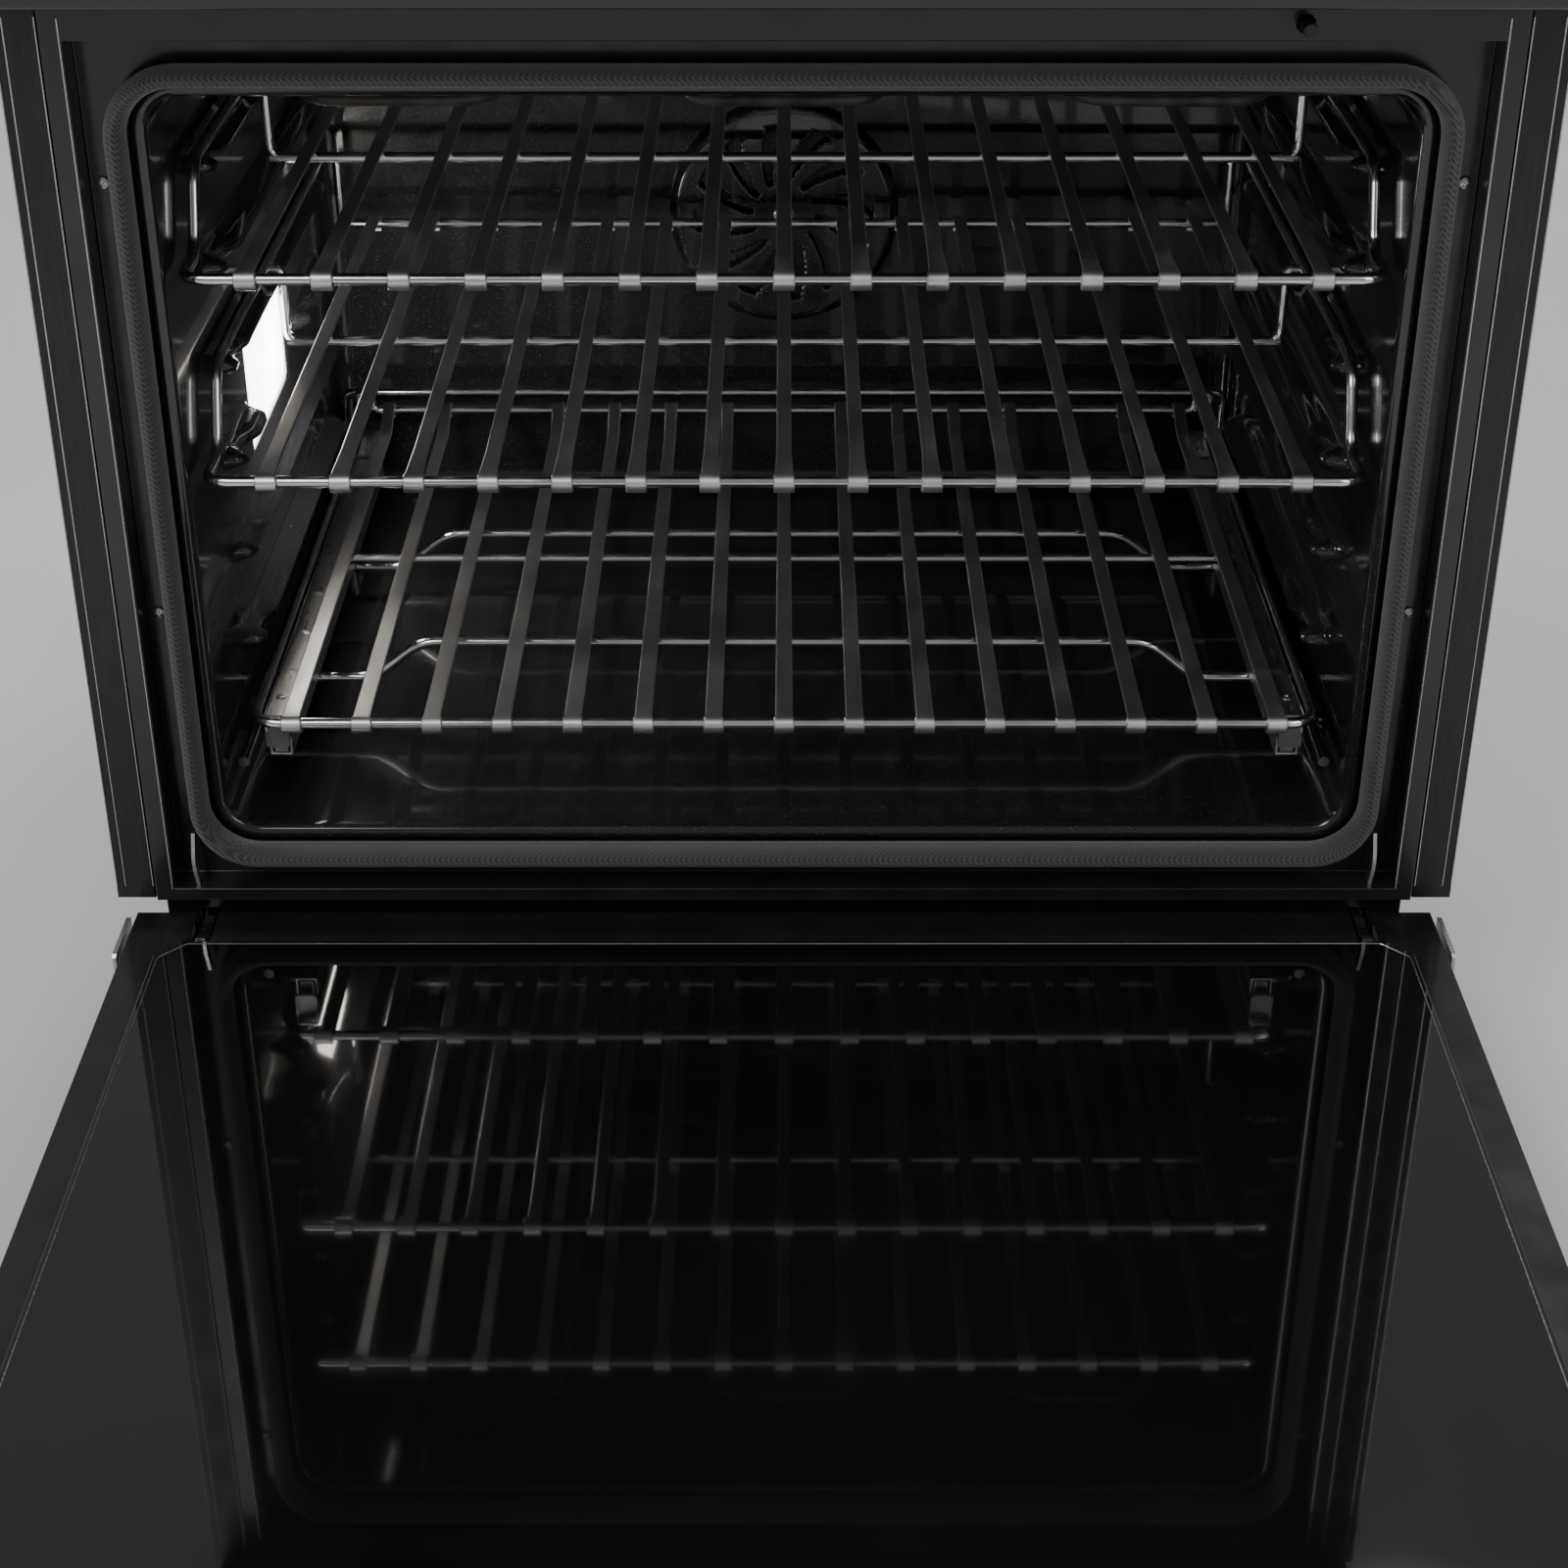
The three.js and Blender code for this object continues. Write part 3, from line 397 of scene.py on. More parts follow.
def soften(node, width_mm=0.6, segments=2):
    """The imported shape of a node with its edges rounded. Its large faces stay flat mirrors."""
    bm = bmesh.new()
    bm.from_mesh(frame["nodes"][node].data)
    bmesh.ops.remove_doubles(bm, verts=bm.verts, dist=1e-6)
    bmesh.ops.dissolve_limit(bm, angle_limit=radians(1), verts=bm.verts, edges=bm.edges)
    hard = [e for e in bm.edges if len(e.link_faces) == 2 and e.calc_face_angle(0) > radians(28)]
    bmesh.ops.bevel(bm, geom=hard, offset=width_mm * MM, segments=segments, affect="EDGES", profile=0.5,
                    clamp_overlap=True)
    made = piece(f"{node}_finished", bm, BODY_OF[node], SLOT_OF[node])
    flat = made.modifiers.new("flat_faces", "WEIGHTED_NORMAL")
    flat.weight = 100
    flat.keep_sharp = True
    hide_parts(node)


def lathe(bm, profile, centre, axis, sides=32):
    """Turns a profile of (radius, distance along) points round the X, Y or Z axis through a centre."""
    names = {"x": (1, 2, 0), "y": (2, 0, 1), "z": (0, 1, 2)}[axis]
    rows = []
    for radius, along in profile:
        row = []
        for k in range(sides):
            place = list(centre)
            place[names[0]] += radius * cos(2 * pi * k / sides)
            place[names[1]] += radius * sin(2 * pi * k / sides)
            place[names[2]] += along
            row.append(bm.verts.new(place))
        rows.append(row)
    for one, two in zip(rows, rows[1:]):
        for k in range(sides):
            bm.faces.new((one[k], one[(k + 1) % sides], two[(k + 1) % sides], two[k]))
    bm.faces.new(rows[0])
    bm.faces.new(rows[-1])


print("helpers ready, wire diameter", round(WIRE * 2000, 1), "mm")

# %% [markdown]
# The oven's cavity is one deep-drawn and welded box. Its side walls carry seven embossed runners that the
# racks slide on. They are pressed out of the sheet, so each one swells smoothly from the wall: the walls
# are fine grids of points, and a point moves inwards by a height that depends only on how far it is from a
# runner.

# %% Cavity walls
liner_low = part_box("cavity_liner")[0]
CORNER = 20 * MM
HALF = 317.5 * MM
FLOOR_Z = 145 * MM
ROOF_Z = 565 * MM
WALL_FRONT = liner_low[1]
WALL_BACK = 460 * MM
REAR_BEND = 14 * MM
RUNNER_TOPS = [(170 + 56.3 * i) * MM for i in range(7)]
RUNNER_TALL = 14 * MM
RUNNER_DEEP = 13.6 * MM
RUNNER_START = 61 * MM
RUNNER_END = 404 * MM
KNOB_LENGTH = 11 * MM
NECK_END = 52 * MM
NECK_DEPTH = 0.45
LAMP_Y = (150 * MM, 278 * MM)
LAMP_Z = (301 * MM, 377 * MM)
LAMP_CLEAR = 9 * MM


def smooth(t):
    t = max(0.0, min(1.0, t))
    return t * t * (3 - 2 * t)


def runner_height(x, y, z):
    """How far the wall is pressed inwards at a point of it."""
    height = 0.0
    for top in RUNNER_TOPS:
        if x < 0 and top > LAMP_Z[0] and top - RUNNER_TALL < LAMP_Z[1]:
            spans = [(RUNNER_START, LAMP_Y[0] - LAMP_CLEAR), (LAMP_Y[1] + LAMP_CLEAR, RUNNER_END)]
        else:
            spans = [(RUNNER_START, RUNNER_END)]
        for start, end in spans:
            inside_y = min(y - start, end - y)
            inside_z = min(top - z, z - (top - RUNNER_TALL))
            behind_knob = smooth((y - start - KNOB_LENGTH) / (9 * MM))
            before_rail = smooth((NECK_END - y + start) / (22 * MM))
            neck = 1 - NECK_DEPTH * behind_knob * before_rail
            height = max(height, neck * smooth(inside_y / (8 * MM)) * smooth(inside_z / (6.2 * MM)))
    return height * RUNNER_DEEP


def wall_outline(offset, corner_steps=8, fine=2.4 * MM):
    """Points round the cavity at an offset from its walls, fine up the two sides."""
    radius = CORNER + offset
    x = HALF + offset - radius
    low = FLOOR_Z - offset + radius
    high = ROOF_Z + offset - radius
    rise = int((high - low) / fine)
    points = []
    for cx, cz, start in ((x, high, 0), (-x, high, 90), (-x, low, 180), (x, low, 270)):
        for k in range(corner_steps + 1):
            turn = radians(start + 90 * k / corner_steps)
            points.append((cx + radius * cos(turn), cz + radius * sin(turn)))
        if start == 90:
            points += [(-x - radius, high + (low - high) * k / rise) for k in range(1, rise)]
        elif start == 270:
            points += [(x + radius, low + (high - low) * k / rise) for k in range(1, rise)]
        else:
            level = cz + (radius if start == 0 else -radius)
            points += [(cx - 2 * cx * k / 24, level) for k in range(1, 24)]
    return points


def loop_of(bm, outline, y, pressed=True):
    row = []
    for px, pz in outline:
        inwards = runner_height(px, y, pz) if pressed and abs(px) > HALF - 1 * MM else 0.0
        row.append(bm.verts.new((px - inwards * (1 if px > 0 else -1), y, pz)))
    return row


bm = bmesh.new()
rows = [loop_of(bm, wall_outline(5.2 * MM), WALL_FRONT + 2.4 * MM, False),
        loop_of(bm, wall_outline(4.6 * MM), WALL_FRONT + 0.6 * MM, False),
        loop_of(bm, wall_outline(3.4 * MM), WALL_FRONT + 0.2 * MM, False),
        loop_of(bm, wall_outline(1.2 * MM), WALL_FRONT + 0.5 * MM, False),
        loop_of(bm, wall_outline(0.3 * MM), WALL_FRONT + 1.4 * MM, False)]
steps_back = 150
for i in range(steps_back + 1):
    y = WALL_FRONT + 3 * MM + (WALL_BACK - REAR_BEND - WALL_FRONT - 3 * MM) * i / steps_back
    rows.append(loop_of(bm, wall_outline(0), y))
for k in range(1, 7):
    turn = radians(90 * k / 6)
    outline = wall_outline(-REAR_BEND * (1 - cos(turn)) * 0.98)
    rows.append(loop_of(bm, outline, WALL_BACK - REAR_BEND * (1 - sin(turn))))
turn_count = len(rows[0])
for one, two in zip(rows, rows[1:]):
    for k in range(turn_count):
        bm.faces.new((one[k], one[(k + 1) % turn_count], two[(k + 1) % turn_count], two[k]))
bm.faces.new(rows[-1])
middles = {f: f.calc_center_median() for f in bm.faces}
lamp_hole = [f for f, m in middles.items() if m.x < -HALF + 2 * MM
             and LAMP_Y[0] < m.y < LAMP_Y[1] and LAMP_Z[0] < m.z < LAMP_Z[1]]
bmesh.ops.delete(bm, geom=lamp_hole, context="FACES")
cavity = piece("cavity_walls", bm, "oven", "cavity_enamel", sharp=60)
thick = cavity.modifiers.new("sheet", "SOLIDIFY")
thick.thickness = 1.6 * MM
thick.offset = -1
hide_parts("cavity_liner")
print("cavity points:", len(cavity.data.vertices), "lamp hole faces:", len(lamp_hole))

# %% [markdown]
# The rear wall has a shallow round dish pressed into it, and a slotted cover over the fan. The slots curl
# like the fan's own blades. The cover is a disc of rings and rays, from which the faces inside each slot
# are left out.

# %% Fan cover
cover_low, cover_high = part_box("fan_cover")
COVER_MIDDLE = ((cover_low[0] + cover_high[0]) / 2, cover_high[1], (cover_low[2] + cover_high[2]) / 2)
COVER_RADIUS = 79 * MM
COVER_TALL = cover_high[1] - cover_low[1]
RINGS = 40
RAYS = 192
SLOTS = 12
SLOT_INNER = 22 * MM
SLOT_OUTER = 62 * MM
SLOT_CURL = 9.0
SLOT_SHARE = 0.4


def in_slot(radius, turn):
    """Whether a place on the cover lies in one of its curled slots."""
    if not SLOT_INNER < radius < SLOT_OUTER:
        return False
    curl = turn + SLOT_CURL * radius
    return (curl * SLOTS / (2 * pi)) % 1.0 < SLOT_SHARE


bm = bmesh.new()
rings = [COVER_RADIUS * k / RINGS for k in range(1, RINGS + 1)]
rows = []
for radius in rings:
    edge = smooth((COVER_RADIUS - radius) / (6 * MM))
    row = []
    for k in range(RAYS):
        turn = 2 * pi * k / RAYS
        y = COVER_MIDDLE[1] - COVER_TALL * edge
        x, z = COVER_MIDDLE[0] + radius * cos(turn), COVER_MIDDLE[2] + radius * sin(turn)
        row.append(bm.verts.new((x, y, z)))
    rows.append(row)
for i, (one, two) in enumerate(zip(rows, rows[1:])):
    for k in range(RAYS):
        middle = (rings[i] + rings[i + 1]) / 2
        if not in_slot(middle, 2 * pi * (k + 0.5) / RAYS):
            bm.faces.new((one[k], one[(k + 1) % RAYS], two[(k + 1) % RAYS], two[k]))
bm.faces.new(rows[0])
fan_cover = piece("fan_cover_pressed", bm, "oven", "cavity_enamel", sharp=60)
plate = fan_cover.modifiers.new("sheet", "SOLIDIFY")
plate.thickness = 1.2 * MM
plate.offset = 0
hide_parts("fan_cover")
bm = bmesh.new()
lathe(bm, [(7 * MM, 0), (7 * MM, -1.6 * MM), (5.5 * MM, -2.6 * MM), (0.5 * MM, -3 * MM)],
      (COVER_MIDDLE[0], cover_low[1] + 0.2 * MM, COVER_MIDDLE[2]), "y", 20)
piece("fan_cover_boss", bm, "oven", "bright_steel")
print("fan cover faces:", len(fan_cover.data.polygons))

# %% [markdown]
# The seal is a braided rope pressed into a groove round the mouth. It is swept once round as a closed oval
# tube, about twice as deep as it is wide. The braid is in the finish, at a strand's real pitch: a relief, with
# shade painted into the grooves between the strands.

# %% Door seal
SEAL_OUTSET = 11.5 * MM
SEAL_MIDDLE = HALF + SEAL_OUTSET
SEAL_SQUEEZE = 0.49
seal_low, seal_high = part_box("door_gasket")
seal_corner = CORNER + SEAL_OUTSET
seal_line = []
for cx, cz, start in ((1, 1, 0), (-1, 1, 90), (-1, -1, 180), (1, -1, 270)):
    centre_x = cx * (SEAL_MIDDLE - seal_corner)
    centre_z = (ROOF_Z if cz > 0 else FLOOR_Z) + cz * (SEAL_OUTSET - seal_corner)
    for k in range(13):
        turn = radians(start + 90 * k / 12)
        seal_line.append(Vector((centre_x + seal_corner * cos(turn), 0, centre_z + seal_corner * sin(turn))))
seal_y = (seal_low[1] + seal_high[1]) / 2
spaced = []
for here, after in zip(seal_line, seal_line[1:] + seal_line[:1]):
    pieces = max(1, int((after - here).length / (9 * MM)))
    spaced += [here.lerp(after, k / pieces) + Vector((0, seal_y, 0)) for k in range(pieces)]
bm = bmesh.new()
sweep(bm, spaced, circle((seal_high[1] - seal_low[1]) / 2, 20, SEAL_SQUEEZE), side=(0, 1, 0), closed=True)
rope = piece("door_seal_rope", bm, "oven", "braided_seal")
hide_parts("door_gasket")
print("seal sections:", len(spaced))

# %% [markdown]
# A strap rack is made from a bent wire frame and flat straps. Each strap is bent right round the front bar
# and pressed shut, which leaves the broad bright band that marks this kind of rack. The strap's section is
# a thin flat oval, and it is a little wider where it was pressed round the bar.

# %% Straps
STRAP_PITCH = 39.5 * MM
STRAPS = [(i - 7) * STRAP_PITCH for i in range(15)]
STRAP_HALF = 4.15 * MM
BAND_HALF = 5.6 * MM
STRAP_THIN = 1.0 * MM
WRAP_PUFF = 0.7 * MM
WRAP_STEPS = 14
WRAP_START, WRAP_TURN = -20, 250
TAIL_STEPS = 7
TAIL_TURN = 200


def strap_line(x, front, bar_z, rear, rear_z):
    """The middle line of one strap: round the front bar from below, along the deck, and over the rear bar."""
    turn_radius = WIRE + STRAP_THIN
    line = []
    for k in range(WRAP_STEPS + 1):
        turn = radians(WRAP_START - WRAP_TURN * k / WRAP_STEPS)
        wide = turn_radius + WRAP_PUFF * (1 - smooth((k - 10) / 4))
        line.append(Vector((x, front + wide * cos(turn), bar_z + wide * sin(turn))))
    top = bar_z + turn_radius
    if rear_z > bar_z:
        climb = [(x, rear - 60 * MM, top), (x, rear - 25 * MM, top), (x, rear, rear_z + turn_radius)]
        line += rounded(climb, 7 * MM)
    else:
        line += [Vector((x, front + 30 * MM, top)), Vector((x, rear, top))]
    for k in range(1, TAIL_STEPS + 1):
        turn = radians(90 - TAIL_TURN * k / TAIL_STEPS)
        line.append(Vector((x, rear + turn_radius * cos(turn), rear_z + turn_radius * sin(turn))))
    return line


def strap_section(half):
    thin = STRAP_THIN * 0.95
    soft = 0.5 * MM
    return [(-half, -thin + soft), (-half + soft, -thin), (half - soft, -thin), (half, -thin + soft),
            (half, thin - soft), (half - soft, thin), (-half + soft, thin), (-half, thin - soft)]


def add_straps(name, body, front, bar_z, rear, rear_z):
    bm = bmesh.new()
    for x in STRAPS:
        line = strap_line(x, front, bar_z, rear, rear_z)
        count = len(line) - 1

        def section(t):
            along = t * count
            return strap_section(STRAP_HALF + (BAND_HALF - STRAP_HALF) * (1 - smooth((along - 13) / 2)))

        sweep(bm, line, section, side=(1, 0, 0))
    straps = piece(name, bm, body, "strap_nickel")
    return straps


print("straps per rack:", len(STRAPS))

# %% [markdown]
# The two upper racks hang their decks below their runners. The side wire starts at the front bar, jogs up and
# then slides on the wall's runner, and short posts carry the deck's cross bars.

# %% Upper racks
RACK_X = 309.5 * MM
POST_X = 299 * MM
BAND_RADIUS = WIRE + 1.4 * MM
RACK_DEEP = 437 * MM
RUNNER_RISE = 45 * MM
CROSS_BAR = 212.6 * MM
JOG_START, JOG_END = 36.6 * MM, 56.6 * MM


def add_rack(name, body):
    low, high = (Vector(c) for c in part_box(f"{name}_frame"))
    front = low.y + BAND_RADIUS
    deck = low.z + BAND_RADIUS
    runner = deck + RUNNER_RISE
    rear = front + RACK_DEEP
    half = [(RACK_X, rear, runner), (RACK_X, front + JOG_END, runner), (RACK_X, front + JOG_START, deck),
            (RACK_X, front, deck)]
    bm = bmesh.new()
    sweep(bm, rounded(mirrored(half), 13 * MM), circle(WIRE))
    sweep(bm, [Vector((-RACK_X, rear, runner)), Vector((RACK_X, rear, runner))], circle(WIRE))
    for y in (front + CROSS_BAR, rear):
        post = [(RACK_X, y, runner), (POST_X, y, runner), (POST_X, y, deck)]
        sweep(bm, rounded(mirrored(post), 8 * MM), circle(WIRE * 0.9))
    wires = piece(f"{name}_wires", bm, body, "rack_nickel")
    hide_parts(f"{name}_frame")
    bm = bmesh.new()
    for y in (front + CROSS_BAR, rear):
        sweep(bm, [Vector((-POST_X, y, deck)), Vector((POST_X, y, deck))], circle(WIRE))
    bars = piece(f"{name}_deck_bars", bm, body, "rack_nickel")
    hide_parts(f"{name}_deck")
    made = add_straps(f"{name}_straps", body, front, deck, rear, deck)
    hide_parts(f"{name}_deck")
    print(name, "deck at", round(deck, 4), "m, wire faces", len(wires.data.polygons))


add_rack("middle_rack", "middle_rack_body")
add_rack("top_rack", "top_rack_body")

# %% [markdown]
# The roll-out shelf has no posts: its deck rides on the sliding rails. Its rear bar stands a little higher to
# stop a dish, ends in an ear that is folded up at each side, and goes down into the rail's tail.

# %% Roll-out shelf
shelf_low = Vector(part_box("rollout_shelf")[0])
SHELF_FRONT = shelf_low.y + BAND_RADIUS
SHELF_Z = shelf_low.z + BAND_RADIUS
SHELF_X = 298.5 * MM
SHELF_REAR = SHELF_FRONT + RACK_DEEP
REAR_BAR_Z = SHELF_Z + 12 * MM
EAR_Z = SHELF_Z + 24 * MM
RAIL_INNER = 281 * MM
bm = bmesh.new()
front_half = [(SHELF_X, SHELF_REAR - 26 * MM, SHELF_Z), (SHELF_X, SHELF_FRONT, SHELF_Z)]
sweep(bm, rounded(mirrored(front_half), 17 * MM, 8), circle(WIRE))
ear_half = [(SHELF_X, SHELF_REAR - 2 * MM, SHELF_Z - 18 * MM), (SHELF_X, SHELF_REAR, EAR_Z),
            (289 * MM, SHELF_REAR, EAR_Z), (288 * MM, SHELF_REAR, REAR_BAR_Z)]
sweep(bm, rounded(mirrored(ear_half), 5.5 * MM), circle(WIRE))
for side in (-1, 1):
    end = [Vector((side * SHELF_X, y, SHELF_Z)) for y in (SHELF_REAR - 27 * MM, SHELF_REAR)]
    sweep(bm, end, circle(WIRE * 0.98))
cross_y = SHELF_FRONT + 217.6 * MM
cross_end = RAIL_INNER - 0.6 * MM
sweep(bm, [Vector((-cross_end, cross_y, SHELF_Z)), Vector((cross_end, cross_y, SHELF_Z))], circle(WIRE))
shelf_wires = piece("rollout_shelf_wires", bm, "rollout", "rack_nickel")
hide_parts("rollout_shelf")
add_straps("rollout_shelf_straps", "rollout", SHELF_FRONT, SHELF_Z, SHELF_REAR, REAR_BAR_Z)
print("shelf front bar at", round(SHELF_FRONT, 4))

# %% [markdown]
# The base frame stays in the oven. Its two cross wires run low under the rails and rise in the middle, which
# stiffens them, and its side wires turn up behind the shelf into a stop bar. The rails on it nest: a fixed
# channel, a middle bar and the sliding channel under the shelf.

# %% Base frame
base_low = Vector(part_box("rollout_base_frame")[0])
BASE_Z = base_low.z + WIRE * 0.87
STOP_Y = 435 * MM
STOP_Z = 228 * MM
CROSS_WIRES = (108 * MM, 264 * MM)
CROSS_RISE = 24 * MM
bm = bmesh.new()
for y in CROSS_WIRES:
    half = [(219.5 * MM, y, BASE_Z + CROSS_RISE), (248 * MM, y, BASE_Z), (RACK_X, y, BASE_Z)]
    whole = [(-x, yy, z) for x, yy, z in reversed(half)] + half
    sweep(bm, rounded(whole, 11 * MM), circle(WIRE))
side_half = [(RACK_X, 3 * MM, BASE_Z), (RACK_X, STOP_Y, BASE_Z), (RACK_X, STOP_Y, STOP_Z)]
sweep(bm, rounded(mirrored(side_half), 10 * MM), circle(WIRE))
base_wires = piece("base_frame_wires", bm, "oven", "rack_nickel")
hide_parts("rollout_base_frame")
print("base frame faces:", len(base_wires.data.polygons))

# %% [markdown]
# The top of each sliding channel carries a row of short pressed ridges, a rivet near its nose and a slot near
# its tail. The channel is one section swept along its length, whose top lifts wherever a ridge crosses it.

# %% Sliding rails
RIDGE_PITCH = 53 * MM


def add_sliding_rail(side_name):
    low, high = (Vector(c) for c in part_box(f"sliding_rail_{side_name}"))
    centre = (low.x + high.x) / 2
    half = (high.x - low.x) / 2
    top = high.z - 0.9 * MM
    skirt = 11 * MM
    steps = 280
    length = high.y - low.y
    line = [Vector((centre, low.y + length * k / steps, top)) for k in range(steps + 1)]

    def section(t):
        from_ridge = abs(((t * length + RIDGE_PITCH / 2) % RIDGE_PITCH) - RIDGE_PITCH / 2)
        lift = 0.85 * MM * smooth(1 - from_ridge / (3.2 * MM)) if 0.05 < t < 0.95 else 0.0
        outer = [(-half, -skirt), (-half, -1.2 * MM), (-half + 1.2 * MM, 0), (-3.8 * MM, 0),
                 (-2.8 * MM, lift), (2.8 * MM, lift), (3.8 * MM, 0),
                 (half - 1.2 * MM, 0), (half, -1.2 * MM), (half, -skirt)]
        inner = [(half - 1.1 * MM, -skirt), (half - 1.1 * MM, -1.6 * MM), (half - 1.8 * MM, -1.1 * MM),
                 (-half + 1.8 * MM, -1.1 * MM), (-half + 1.1 * MM, -1.6 * MM), (-half + 1.1 * MM, -skirt)]
        return outer + inner

    bm = bmesh.new()
    sweep(bm, line, section, side=(-1, 0, 0))
    rail = piece(f"sliding_rail_{side_name}_pressed", bm, "rollout", "rail_steel")
    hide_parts(f"sliding_rail_{side_name}")
    bm = bmesh.new()
    nose_z = low.z + 10 * MM
    nose = [Vector((centre, low.y + y, nose_z)) for y in (0.3 * MM, 2.6 * MM)]
    plate = [(-half, -8.5 * MM), (-half + 1.5 * MM, -10 * MM), (half - 1.5 * MM, -10 * MM), (half, -8.5 * MM),
             (half, 9 * MM), (-half, 9 * MM)]
    sweep(bm, nose, plate, side=(-1, 0, 0))
    piece(f"rail_nose_{side_name}", bm, "rollout", "rack_nickel")
    bm = bmesh.new()
    head_mm = [(3.4, -0.2), (3.4, 0.3), (2.6, 0.85), (1.3, 0.9), (1.2, 0.2)]
    head = [(radius * MM, along * MM) for radius, along in head_mm]
    lathe(bm, head, (centre, low.y + 22 * MM, top), "z", 20)
    piece(f"rail_rivet_{side_name}", bm, "rollout", "bright_steel")
    bm = bmesh.new()
    ring_line = rounded([(centre - 2 * MM, high.y - 34 * MM, top), (centre + 2 * MM, high.y - 34 * MM, top),
                         (centre + 2 * MM, high.y - 20 * MM, top), (centre - 2 * MM, high.y - 20 * MM, top)],
                        2 * MM, 4, closed=True)
    sweep(bm, ring_line, circle(0.55 * MM, 8), closed=True)
    piece(f"rail_slot_rim_{side_name}", bm, "rollout", "rail_steel")


for side_name in ("left", "right"):
    add_sliding_rail(side_name)
    soften(f"fixed_rail_{side_name}", 0.4)
    soften(f"middle_rail_{side_name}", 0.7)
print("rail ridges every", round(RIDGE_PITCH * 1000), "mm")

# %% [markdown]
# The rest of the oven is folded sheet, glass and turned bar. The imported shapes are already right, so each one
# is copied with its edges rounded by about what a press brake or a glass edger leaves.

# %% Folded, cut and turned pieces
EDGES = {
    "chassis_base": 0.6, "chassis_side_left": 0.6, "chassis_side_right": 0.6, "chassis_rear": 0.6,
    "chassis_top": 0.6, "front_frame": 0.7, "bottom_vent_trim": 0.5, "control_panel_glass": 1.0,
    "control_panel_housing": 0.8, "control_board": 0.3, "door_pan": 0.8, "door_outer_glass": 1.2,
    "door_inner_glass": 0.9, "door_middle_glass": 0.6, "insulation_wrap": 3.0, "insulation_rear": 3.0,
    "bake_tray": 0.5, "lamp_housing": 0.5, "blower_housing": 0.6, "blower_wheel": 0.3, "convection_fan": 0.4,
    "convection_motor": 1.5, "temperature_sensor": 0.5, "light_switch_body": 0.5, "light_switch_plunger": 0.8,
    "conduit_gland": 0.6,
}
PAIRED_EDGES = {"hinge_arm": 0.5, "hinge_receiver": 0.4, "hinge_channel": 0.5, "hinge_pin": 0.4,
                "handle_bracket": 1.6, "side_trim": 0.6}
for node, width in EDGES.items():
    soften(node, width)
for side_name in ("left", "right"):
    for node, width in PAIRED_EDGES.items():
        soften(f"{node}_{side_name}", width)
print("softened pieces:", len(EDGES) + 2 * len(PAIRED_EDGES))

# %% [markdown]
# The heating elements are drawn tube, so each is a round section swept along the same bends. The broil
# element's hairpins can be seen under the roof of the cavity.

# %% Heating elements
broil_low, broil_high = (Vector(c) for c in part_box("broil_element"))
BROIL_Z = (broil_low.z + broil_high.z) / 2
TUBE = 4 * MM


def tube_piece(name, node, half, bend, radius=TUBE):
    bm = bmesh.new()
    sweep(bm, rounded(mirrored(half), bend, 8), circle(radius, 16))
    made = piece(name, bm, "oven", "element_sheath")
    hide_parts(node)
    print(name, "faces", len(made.data.polygons))


hairpins = [(30, 476), (30, 410), (250, 410), (250, 40), (150, 40), (150, 350), (50, 350), (50, 40)]
tube_piece("broil_tube", "broil_element", [(x * MM, y * MM, BROIL_Z) for x, y in hairpins], 24 * MM)
bake_low, bake_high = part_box("bake_element")
bake_z = (bake_low[2] + bake_high[2]) / 2
loops = [(30, 452), (30, 420), (230, 420), (230, 60), (90, 60), (90, 350)]
tube_piece("bake_tube", "bake_element", [(x * MM, y * MM, bake_z) for x, y in loops], 28 * MM)
RING_Y = 480 * MM
RING_Z = 351 * MM
RING_RADIUS = 60 * MM
RING_GAP = 0.27
TERMINAL_Y = 511 * MM
ring_half = []
for k in range(25):
    turn = pi / 2 - RING_GAP - (pi - RING_GAP) * k / 24
    ring_half.append((RING_RADIUS * cos(turn), RING_Y, RING_Z + RING_RADIUS * sin(turn)))
ring_half[-1] = (0.6 * MM, RING_Y, RING_Z - RING_RADIUS)
ends = [(ring_half[0][0], TERMINAL_Y, ring_half[0][2])]
tube_piece("ring_tube", "convection_element", ends + ring_half, 3 * MM, 2.6 * MM)

# %% [markdown]
# The lamp's glass is a shallow moulded dome in a metal rim, with the bulb behind it. The glass glows, and a
# small warm lamp beside it lights the cavity. That lamp is hidden from mirrors, where only the glass should
# show.

# %% Lamp
lens_low, lens_high = (Vector(c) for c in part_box("lamp_lens"))
lens_middle = (lens_low + lens_high) / 2
lens_half_y = (lens_high.y - lens_low.y) / 2
lens_half_z = (lens_high.z - lens_low.z) / 2
bm = bmesh.new()
GRID = 24
rows = []
for i in range(GRID + 1):
    a = -1 + 2 * i / GRID
    row = []
    for k in range(GRID + 1):
        b = -1 + 2 * k / GRID
        rise = (1 - a ** 4) * (1 - b ** 4)
        flute = 0.35 * MM * sin(b * 26) * rise
        place = (lens_low.x + 1.5 * MM + (lens_high.x - lens_low.x - 2.0 * MM) * rise + flute,
                 lens_middle.y + a * lens_half_y, lens_middle.z + b * lens_half_z)
        row.append(bm.verts.new(place))
    rows.append(row)
for one, two in zip(rows, rows[1:]):
    for k in range(GRID):
        bm.faces.new((one[k], one[k + 1], two[k + 1], two[k]))
lens = piece("lamp_glass", bm, "oven", "lamp_glow", sharp=60)
shell = lens.modifiers.new("glass", "SOLIDIFY")
shell.thickness = 1.2 * MM
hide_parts("lamp_lens")
RIM_Y = lens_half_y + 0.5 * MM
RIM_Z = lens_half_z + 0.5 * MM
rim = [(lens_high.x - 4.2 * MM, lens_middle.y + sy * RIM_Y, lens_middle.z + sz * RIM_Z)
       for sy, sz in QUARTERS]
bm = bmesh.new()
